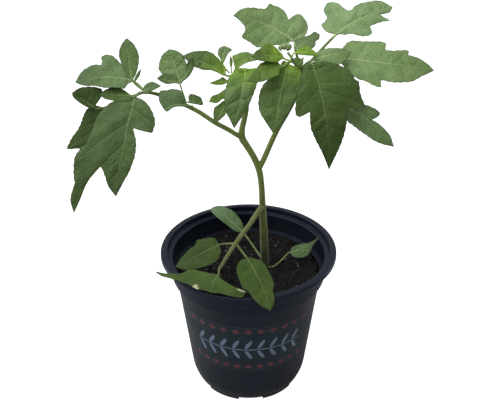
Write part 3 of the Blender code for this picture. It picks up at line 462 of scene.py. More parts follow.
# Compost: the root ball with its crumbly top, and loose crumbs and fibres on it.
compostShape = {
    "level": 84.0, "clearance": 0.6, "rings": 84, "segments": 232, "relief": 1.3, "crumbRelief": 0.75,
    "mound": 2.4, "looseMargin": 2.4, "largeCrumbs": 520, "smallCrumbs": 3600, "fibres": 170,
    "paleSpecks": 26, "seed": 7,
}


def compostHeight(x, y):
    spot = Vector((x, y, 0))
    broad = noise.noise(spot * 0.07) + 0.5 * noise.noise(spot * 0.19)
    lumps = noise.voronoi(spot * 0.42 + Vector((3, 1, 5)), distance_metric="DISTANCE")[0]
    crumbs = 0.7 - lumps[0] * 1.1 + 0.5 * noise.noise(spot * 0.9) + 0.25 * noise.noise(spot * 2.3)
    # the compost is heaped against the left of the wall, and a little against the right
    heaped = min(1.0, max(0.0, (-x - 8) / 34)) ** 1.5 + 0.4 * min(1.0, max(0.0, (x - 22) / 24)) ** 1.5
    return (broad * compostShape["relief"] + crumbs * compostShape["crumbRelief"]
            + heaped * compostShape["mound"])


def makeCompost():
    s = compostShape
    wall, floor = potShape["wall"], potShape["floorHeight"] + potShape["floorThickness"] + 0.3
    inside = lambda h: wallRadius(h) - wall - s["clearance"]
    edge = inside(s["level"])
    section = [(0.0, s["level"])]
    section += [(edge * (i + 1) / s["rings"], s["level"]) for i in range(s["rings"])]
    section += [(inside(h), h) for h in (82, 78, 70, 60, 50, 40, 30, 20, floor + 3.4)]
    section += [(inside(floor) - 1.4, floor + 0.8), (inside(floor) - 3.4, floor)]
    section += [(edge * k, floor) for k in (0.7, 0.4)] + [(0.0, floor)]
    points, faces = revolve(section, s["segments"])
    raised = []
    for x, y, z in points:
        reach = math.hypot(x, y)
        if z == s["level"] and reach < edge - 0.2:
            fade = min(1.0, (edge - reach) / 2.0)
            z += compostHeight(x, y) * fade + 0.5 * (1 - fade)
        elif reach > 1 and z > floor + 3:
            pull = 1 - 0.006 * (noise.noise(Vector((x, y, z)) * 0.4) + 1)
            x, y = x * pull, y * pull
        raised.append((x, y, z))
    dark = compostTones("compostDark", linear(12, 12, 13), linear(30, 28, 27))
    return addPiece("compostBall", closedOutwards(standMesh("compostBall", raised, faces)), [dark])


def topOfCompost(ball):
    # an open patch of the crumbly top, which the crumbs and fibres are scattered over
    patch = bmesh.new()
    patch.from_mesh(ball.data)
    edge = (wallRadius(compostShape["level"]) - compostShape["looseMargin"]) * mm
    low = (compostShape["level"] + footHeight - 3) * mm
    gone = [f for f in patch.faces
            if f.calc_center_median().z < low or f.calc_center_median().xy.length > edge]
    bmesh.ops.delete(patch, geom=gone, context="FACES")
    mesh = bpy.data.meshes.new("compostTop")
    patch.to_mesh(mesh)
    patch.free()
    return mesh


def startGeometry(name, numbers):
    kinds = {float: "NodeSocketFloat", int: "NodeSocketInt"}
    inputs = [(label, kinds[type(value)], value) for label, value in numbers.items()]
    return startGroup(name, [("Geometry", "NodeSocketGeometry", None)] + inputs,
                      [("Geometry", "NodeSocketGeometry")], "GeometryNodeTree")


def setInputs(modifier, values):
    # a node group's inputs are set by identifier before the modifier is first evaluated
    for item in modifier.node_group.interface.items_tree:
        if item.in_out == "INPUT" and item.name in values:
            modifier[item.identifier] = values[item.name]


def spreadPoints(tree, given):
    return place(tree, "GeometryNodeDistributePointsOnFaces", {
        "Mesh": given["Geometry"], "Density": given["Count per Area"], "Seed": given["Seed"]})


def addInstance(tree, join, shape):
    single = place(tree, "GeometryNodeGeometryToInstance", {0: shape.outputs[0]}).outputs[0]
    tree.links.new(single, join.inputs[0])


def paintAndSend(tree, out, geometry, material):
    painted = place(tree, "GeometryNodeSetMaterial", {"Geometry": geometry})
    painted.inputs["Material"].default_value = material
    tree.links.new(painted.outputs[0], out["Geometry"])


def randomValue(tree, kind, low, high, seed):
    node = place(tree, "FunctionNodeRandomValue", data_type=kind)
    shift = {"FLOAT_VECTOR": (0, 1, 0), "FLOAT": (2, 3, 1), "INT": (4, 5, 2)}[kind]
    feed(tree, node, {shift[0]: low, shift[1]: high, "Seed": seed})
    return node.outputs[shift[2]]


def finishScatter(tree, out, instances, toneName, toneSeed, material):
    tone = randomValue(tree, "FLOAT", 0.0, 1.0, toneSeed)
    named = place(tree, "GeometryNodeStoreNamedAttribute", {"Geometry": instances, "Name": toneName},
                  data_type="FLOAT", domain="INSTANCE")
    tree.links.new(tone, named.inputs["Value"])
    real = place(tree, "GeometryNodeRealizeInstances", {0: named.outputs[0]}).outputs[0]
    paintAndSend(tree, out, real, material)


def crumbScatter(material):
    # lumps of four shapes, half sunk into the surface that they lie on
    tree, given, out = startGeometry("crumbScatter",
                                     {"Count per Area": 1.0, "Smallest": 0.0004, "Largest": 0.0015,
                                      "Facets": 2, "Roughness": 0.5, "Seed": 1})
    spread = spreadPoints(tree, given)
    join = tree.nodes.new("GeometryNodeJoinGeometry")
    for i in range(4):
        ball = place(tree, "GeometryNodeMeshIcoSphere", {"Radius": 1.0, "Subdivisions": given["Facets"]})
        here = tree.nodes.new("GeometryNodeInputPosition").outputs[0]
        shifted = place(tree, "ShaderNodeVectorMath", {0: here, 1: (9.0 * i, 4.0, 2.0 * i)}).outputs[0]
        bumps = clouds(tree, shifted, 1.3)
        push = times(tree, sums(tree, "SUBTRACT", bumps, 0.55), given["Roughness"])
        push = times(tree, push, 4.0)
        offset = place(tree, "ShaderNodeVectorMath", {0: here, "Scale": push}, operation="SCALE").outputs[0]
        lump = place(tree, "GeometryNodeSetPosition", {"Geometry": ball.outputs[0], "Offset": offset})
        addInstance(tree, join, lump)
    pick = randomValue(tree, "INT", 0, 3, 11)
    turn = randomValue(tree, "FLOAT_VECTOR", (0, 0, 0), (math.tau, math.tau, math.tau), 12)
    chance = sums(tree, "POWER", randomValue(tree, "FLOAT", 0.0, 1.0, 13), 2.2)
    size = stretch(tree, chance, 0.0, 1.0, 0.0, 1.0, smooth=False)
    tree.links.new(given["Smallest"], size.node.inputs["To Min"])
    tree.links.new(given["Largest"], size.node.inputs["To Max"])
    flat = randomValue(tree, "FLOAT_VECTOR", (0.75, 0.75, 0.55), (1.25, 1.1, 0.95), 14)
    scale = place(tree, "ShaderNodeVectorMath", {0: flat, "Scale": size}, operation="SCALE").outputs[0]
    lumps = place(tree, "GeometryNodeInstanceOnPoints", {
        "Points": spread.outputs["Points"], "Instance": join.outputs[0], "Pick Instance": True,
        "Instance Index": pick, "Rotation": turn, "Scale": scale}).outputs[0]
    finishScatter(tree, out, lumps, "crumbTone", 15, material)
    return tree


def fibreScatter(material):
    # short bent root and peat fibres that lie flat or stick up a little
    tree, given, out = startGeometry("fibreScatter",
                                     {"Count per Area": 1.0, "Length": 0.006, "Thickness": 0.00012,
                                      "Seed": 3})
    spread = spreadPoints(tree, given)
    join = tree.nodes.new("GeometryNodeJoinGeometry")
    for bend, rise in ((0.35, 0.22), (-0.25, 0.32), (0.12, 0.12)):
        arc = place(tree, "GeometryNodeCurveQuadraticBezier", {
            "Resolution": 7, "Start": (-0.5, 0, 0), "Middle": (0, bend, rise), "End": (0.5, 0, 0.03)})
        outline = place(tree, "GeometryNodeCurvePrimitiveCircle", {"Resolution": 4})
        thin = sums(tree, "DIVIDE", given["Thickness"], given["Length"])
        tree.links.new(thin, outline.inputs["Radius"])
        tube = place(tree, "GeometryNodeCurveToMesh", {
            "Curve": arc.outputs[0], "Profile Curve": outline.outputs[0], "Fill Caps": True})
        addInstance(tree, join, tube)
    pick = randomValue(tree, "INT", 0, 2, 21)
    turn = randomValue(tree, "FLOAT_VECTOR", (-0.35, -0.3, 0), (0.35, 0.3, math.tau), 22)
    portion = randomValue(tree, "FLOAT", 0.35, 1.25, 23)
    size = times(tree, portion, given["Length"])
    fibres = place(tree, "GeometryNodeInstanceOnPoints", {
        "Points": spread.outputs["Points"], "Instance": join.outputs[0], "Pick Instance": True,
        "Instance Index": pick, "Rotation": turn, "Scale": size}).outputs[0]
    finishScatter(tree, out, fibres, "crumbTone", 24, material)
    return tree


def scatterOver(name, mesh, tree, values):
    piece = addPiece(name, mesh)
    modifier = piece.modifiers.new("scatter", "NODES")
    modifier.node_group = tree
    setInputs(modifier, values)
    settle(piece)
    piece.data.shade_smooth()
    return piece


def compostTones(name, dark, light, toneName=None):
    material, tree, shader = startMaterial(name, specularIORLevel=0.2)
    where = objectPlace(tree)
    patches = mottled(tree, where, 190.0, 0.75)
    broad = mottled(tree, where, 46.0, 0.6)
    grain = useGroup(tree, fineGrain, Place=where, Scale=2600.0)
    colour = blendColour(tree, times(tree, patches, broad), dark, light)
    if toneName:
        tone = readAttribute(tree, toneName)
        colour = blendColour(tree, stretch(tree, tone, 0.35, 1.0), colour, light)
        colour = blendColour(tree, stretch(tree, tone, 0.9, 0.97), colour, linear(70, 65, 60))
    rough = stretch(tree, grain["Mask"], 0.0, 1.0, 0.82, 0.98)
    finishSkin(tree, shader, colour, rough, grain["Height"], 0.8, 0.0002)
    return material


def makeLooseCompost(ball):
    s = compostShape
    area = math.pi * ((wallRadius(s["level"]) - s["looseMargin"]) * mm) ** 2
    crumbs = crumbScatter(compostTones("compostCrumb", linear(14, 14, 15), linear(36, 34, 33), "crumbTone"))
    fibres = fibreScatter(compostTones("peatFibre", linear(30, 27, 24), linear(64, 57, 50), "crumbTone"))
    specks = crumbScatter(compostTones("paleGrit", linear(112, 104, 96), linear(168, 158, 146),
                                       "crumbTone"))
    layers = {
        "compostLumps": (crumbs, s["largeCrumbs"], {"Smallest": 0.7 * mm, "Largest": 2.1 * mm,
                                                    "Facets": 2, "Roughness": 0.5}),
        "compostCrumbs": (crumbs, s["smallCrumbs"], {"Smallest": 0.25 * mm, "Largest": 0.8 * mm,
                                                     "Facets": 1, "Roughness": 0.35}),
        "peatFibres": (fibres, s["fibres"], {"Length": 6.5 * mm, "Thickness": 0.13 * mm}),
        "paleGrit": (specks, s["paleSpecks"], {"Smallest": 0.28 * mm, "Largest": 0.75 * mm,
                                               "Facets": 2, "Roughness": 0.3}),
    }
    return [scatterOver(name, topOfCompost(ball), tree,
                        {"Count per Area": count / area, "Seed": s["seed"] + i, **values})
            for i, (name, (tree, count, values)) in enumerate(layers.items())]


# Stalks: the points of each centre line and the radius at each point.
stemPaths = {
    "mainStem": [
        (11.5, 4, 64, 2.8), (11.5, 4, 84, 3.1), (10.8, 4, 104, 2.8), (10, 3.5, 120, 2.6),
        (9.3, 3, 134, 2.2), (8.5, 2.5, 148, 2.0), (7, 1.5, 159, 2.1), (3.5, 0.5, 169, 2.1),
        (-1, -0.5, 177.5, 2.1), (-4, -1.5, 183.5, 2.3), (-3.8, -2.5, 190, 1.9), (-2.2, -4, 198, 1.75),
        (-1.2, -5, 205.5, 1.6), (-3, -6, 214, 1.5), (-7, -6.3, 221.5, 1.2), (-9.5, -6.5, 225, 1.0),
    ],
    "rightLeafStalk": [
        (9.5, 0.3, 167, 1.8), (12, -0.8, 174, 1.75), (17.5, -2.5, 188.5, 1.7), (25, -5, 204.5, 1.65),
        (29, -7, 216, 1.55), (30.5, -8.5, 225, 1.45), (31, -9.5, 230.5, 1.3),
    ],
    "leftLeafStalk": [
        (-8.2, -4, 187, 1.5), (-12, -5, 190, 1.5), (-20.5, -7.5, 196, 1.45),
        (-29, -9.5, 203, 1.4), (-37, -11, 208, 1.3), (-45, -13, 212.5, 1.2),
        (-52, -15, 216, 1.1), (-58, -16, 217.6, 0.9), (-62, -17, 217.6, 0.8),
    ],
    "leftLowerStalk": [
        (-62.5, -13.8, 216.2, 0.7), (-68, -12.5, 213, 0.7), (-76, -12, 209.5, 0.65),
        (-81, -12.2, 208.2, 0.6),
    ],
    "lowLeafStalk": [
        (5, -2.6, 128.5, 1.8), (0.5, -8, 124, 1.6), (-5.5, -15, 119, 1.5),
        (-9.5, -20.5, 115.5, 1.4), (-14.5, -29, 111.5, 1.25), (-18.5, -38, 109, 0.95),
    ],
    "topRightStalk": [
        (33.3, -5.5, 231, 0.9), (37.5, -2, 232.8, 0.9), (43, 4, 237, 0.85), (50, 8.6, 243, 0.8),
    ],
    "topStalk": [
        (29.8, -5.2, 230, 0.9), (28.5, -4, 234.5, 0.85), (27, -1.5, 240, 0.8),
    ],
    "centreStalk": [
        (28.2, -11, 231.2, 0.8), (25.5, -12, 234.3, 0.8), (23.5, -13, 235.2, 0.75),
    ],
}


stalkShape = {
    "sides": 20, "stepsPerSpan": 6, "joinSize": 0.00032, "softening": 6,
    "downCount": 9000, "downLength": 0.00065, "downWidth": 0.00003, "downSeed": 5,
}


def smoothRoute(points, steps):
    # a curve through the points, with the radius carried as a fourth value
    padded = [points[0]] + list(points) + [points[-1]]
    route = []
    for i in range(1, len(padded) - 2):
        for j in range(steps):
            t = j / steps
            weights = np.array([-t + 2 * t * t - t ** 3, 2 - 5 * t * t + 3 * t ** 3,
                                t + 4 * t * t - 3 * t ** 3, -t * t + t ** 3]) * 0.5
            route.append(weights @ np.array(padded[i - 1:i + 3], float))
    route.append(np.array(points[-1], float))
    return np.array(route)


def stalkTubes():
    # round tubes along the paths, thick where the curve's radius says so
    tree, given, out = startGeometry("stalkTubes", {"Sides": 20})
    outline = place(tree, "GeometryNodeCurvePrimitiveCircle", {"Radius": 1.0})
    tree.links.new(given["Sides"], outline.inputs["Resolution"])
    feeds = {"Curve": given["Geometry"], "Profile Curve": outline.outputs[0], "Fill Caps": True}
    tube = place(tree, "GeometryNodeCurveToMesh", feeds)
    if "Scale" in tube.inputs:
        tree.links.new(tree.nodes.new("GeometryNodeInputRadius").outputs[0], tube.inputs["Scale"])
    tree.links.new(tube.outputs[0], out["Geometry"])
    return tree


def makeStalks():
    s = stalkShape
    # every stalk starts inside the one that it grew from, so that the join closes
    grownFrom = {
        "leftLeafStalk": [(-4.2, -2.4, 184.2, 1.6)], "lowLeafStalk": [(8.8, 1.4, 132.4, 1.9)],
        "rightLeafStalk": [(6.9, 1.2, 160.8, 1.7)], "leftLowerStalk": [(-59, -15.8, 217.4, 0.7)],
        "topRightStalk": [(31, -9.2, 229.6, 0.9)], "topStalk": [(30.8, -8.8, 227, 1.0)],
        "centreStalk": [(30.8, -9.6, 229, 0.9)],
    }
    curve = bpy.data.curves.new("stalkPaths", "CURVE")
    curve.dimensions = "3D"
    for name, points in stemPaths.items():
        route = smoothRoute(grownFrom.get(name, []) + points, s["stepsPerSpan"])
        line = curve.splines.new("POLY")
        line.points.add(len(route) - 1)
        for spot, (x, y, z, radius) in zip(line.points, route):
            spot.co = (x * mm, y * mm, (z + footHeight) * mm, 1)
            spot.radius = radius * mm
    paths = bpy.data.objects.new("stalks", curve)
    bpy.context.scene.collection.objects.link(paths)
    tubes = paths.modifiers.new("tubes", "NODES")
    tubes.node_group = stalkTubes()
    setInputs(tubes, {"Sides": s["sides"]})
    stalks = settle(paths)
    join = stalks.modifiers.new("grownTogether", "REMESH")
    join.mode, join.voxel_size, join.use_smooth_shade = "VOXEL", s["joinSize"], True
    soften = stalks.modifiers.new("softForks", "SMOOTH")
    soften.factor, soften.iterations = 0.5, s["softening"]
    settle(stalks)
    markStalks(stalks)
    stalks.data.materials.clear()
    stalks.data.materials.append(stemSkin())
    stalks.data.shade_smooth()
    return stalks


def markStalks(stalks):
    # (place along the stalk, turn round it, height) for every point, from the nearest path
    routes = {name: smoothRoute(points, 8) for name, points in stemPaths.items()}
    count = sum(len(route) for route in routes.values())
    tree, rows = KDTree(count), []
    for name, route in routes.items():
        steps = np.linalg.norm(np.diff(route[:, :3], axis=0), axis=1)
        run = np.concatenate([[0], np.cumsum(steps)])
        ahead = np.gradient(route[:, :3], axis=0)
        for spot, length, direction in zip(route, run, ahead):
            tree.insert(Vector(spot[:3]), len(rows))
            rows.append((spot[:3], length, direction / np.linalg.norm(direction)))
    tree.balance()
    marks = []
    for vertex in stalks.data.vertices:
        here = np.array(vertex.co) / mm - (0, 0, footHeight)
        _, index, _ = tree.find(Vector(here))
        centre, length, direction = rows[index]
        side = np.cross(direction, (0.3, 1, 0.2))
        side /= np.linalg.norm(side)
        other = np.cross(direction, side)
        away = here - centre
        turn = math.atan2(away @ side, away @ other)
        marks.append((length + away @ direction, turn, here[2]))
    storeAttribute(stalks.data, "stalkRun", marks)


def stemSkin():
    material, tree, shader = startMaterial(
        "stemSkin", specularIORLevel=0.3, sheenWeight=0.5, sheenRoughness=0.4,
        sheenTint=linear(214, 222, 190))
    where = objectPlace(tree)
    run = parts(tree, readAttribute(tree, "stalkRun", "Vector"))
    onSkin = combine(tree, sums(tree, "COSINE", run["Y"]), sums(tree, "SINE", run["Y"]),
                     times(tree, run["X"], 0.06))
    streaks = clouds(tree, onSkin, 3.4, 4.0)
    patches = mottled(tree, where, 120.0, 0.6)
    grain = useGroup(tree, fineGrain, Place=where, Scale=2400.0)
    height = run["Z"]
    # paler and greener upwards, darker and browner towards the foot: partly the skin's own change with age,
    # partly painted light on the upper stalks and painted shade low down under the leaves
    colour = blendColour(tree, stretch(tree, height, 128.0, 170.0), linear(94, 102, 51),
                         linear(122, 142, 66))
    colour = blendColour(tree, stretch(tree, height, 190.0, 222.0), colour, linear(102, 130, 50))
    colour = blendColour(tree, stretch(tree, height, 122.0, 92.0), colour, linear(35, 37, 26))
    lit = blendColour(tree, stretch(tree, streaks, 0.35, 0.68), (0.76, 0.78, 0.7, 1), (1.18, 1.16, 1.16, 1))
    colour = blendColour(tree, 1.0, colour, lit, "MULTIPLY")
    colour = glaze(tree, colour, patches, 0.25, (120, 122, 84))
    rough = stretch(tree, grain["Mask"], 0.0, 1.0, 0.5, 0.66)
    tall = sums(tree, "ADD", times(tree, streaks, 1.4), times(tree, grain["Height"], 0.5))
    finishSkin(tree, shader, colour, rough, tall, 0.6, 0.00025)
    return material


def downScatter(material):
    # fine straight hairs, as three-sided spikes that stand out from the skin
    tree, given, out = startGeometry("downScatter",
                                     {"Count per Area": 1.0, "Length": 0.0007, "Width": 0.00003, "Seed": 5})
    spread = spreadPoints(tree, given)
    spike = place(tree, "GeometryNodeMeshCone", {
        "Vertices": 3, "Side Segments": 1, "Fill Segments": 1, "Radius Top": 0.0})
    tree.links.new(given["Width"], spike.inputs["Radius Bottom"])
    tree.links.new(given["Length"], spike.inputs["Depth"])
    lean = randomValue(tree, "FLOAT_VECTOR", (-0.45, -0.45, 0), (0.45, 0.45, math.tau), 31)
    turned = place(tree, "FunctionNodeRotateRotation", {"Rotation": spread.outputs["Rotation"]},
                   rotation_space="LOCAL")
    tree.links.new(lean, turned.inputs["Rotate By"])
    size = randomValue(tree, "FLOAT", 0.45, 1.15, 32)
    hairs = place(tree, "GeometryNodeInstanceOnPoints", {
        "Points": spread.outputs["Points"], "Instance": spike.outputs[0],
        "Rotation": turned.outputs[0], "Scale": size}).outputs[0]
    finishScatter(tree, out, hairs, "hairTone", 33, material)
    return tree


def downSkin():
    material, tree, shader = startMaterial("paleDown", specularIORLevel=0.3, sheenWeight=0.3)
    tone = readAttribute(tree, "hairTone")
    grain = useGroup(tree, fineGrain, Place=objectPlace(tree), Scale=3000.0)
    colour = blendColour(tree, tone, linear(124, 140, 96), linear(168, 178, 142))
    tree.links.new(colour, shader.inputs["Base Color"])
    tree.links.new(stretch(tree, grain["Mask"], 0.0, 1.0, 0.5, 0.65), shader.inputs["Roughness"])
    return material


# Shades of a leaflet's green: partly its age, from the darkest old leaf to the palest young one, and partly
# painted light and shade, paler where a leaflet is lit and darker where it is shaded.
leafToneAndShade = {"deep": 0.3, "dusky": 0.5, "mid": 0.8, "bright": 1.3, "pale": 2.0}

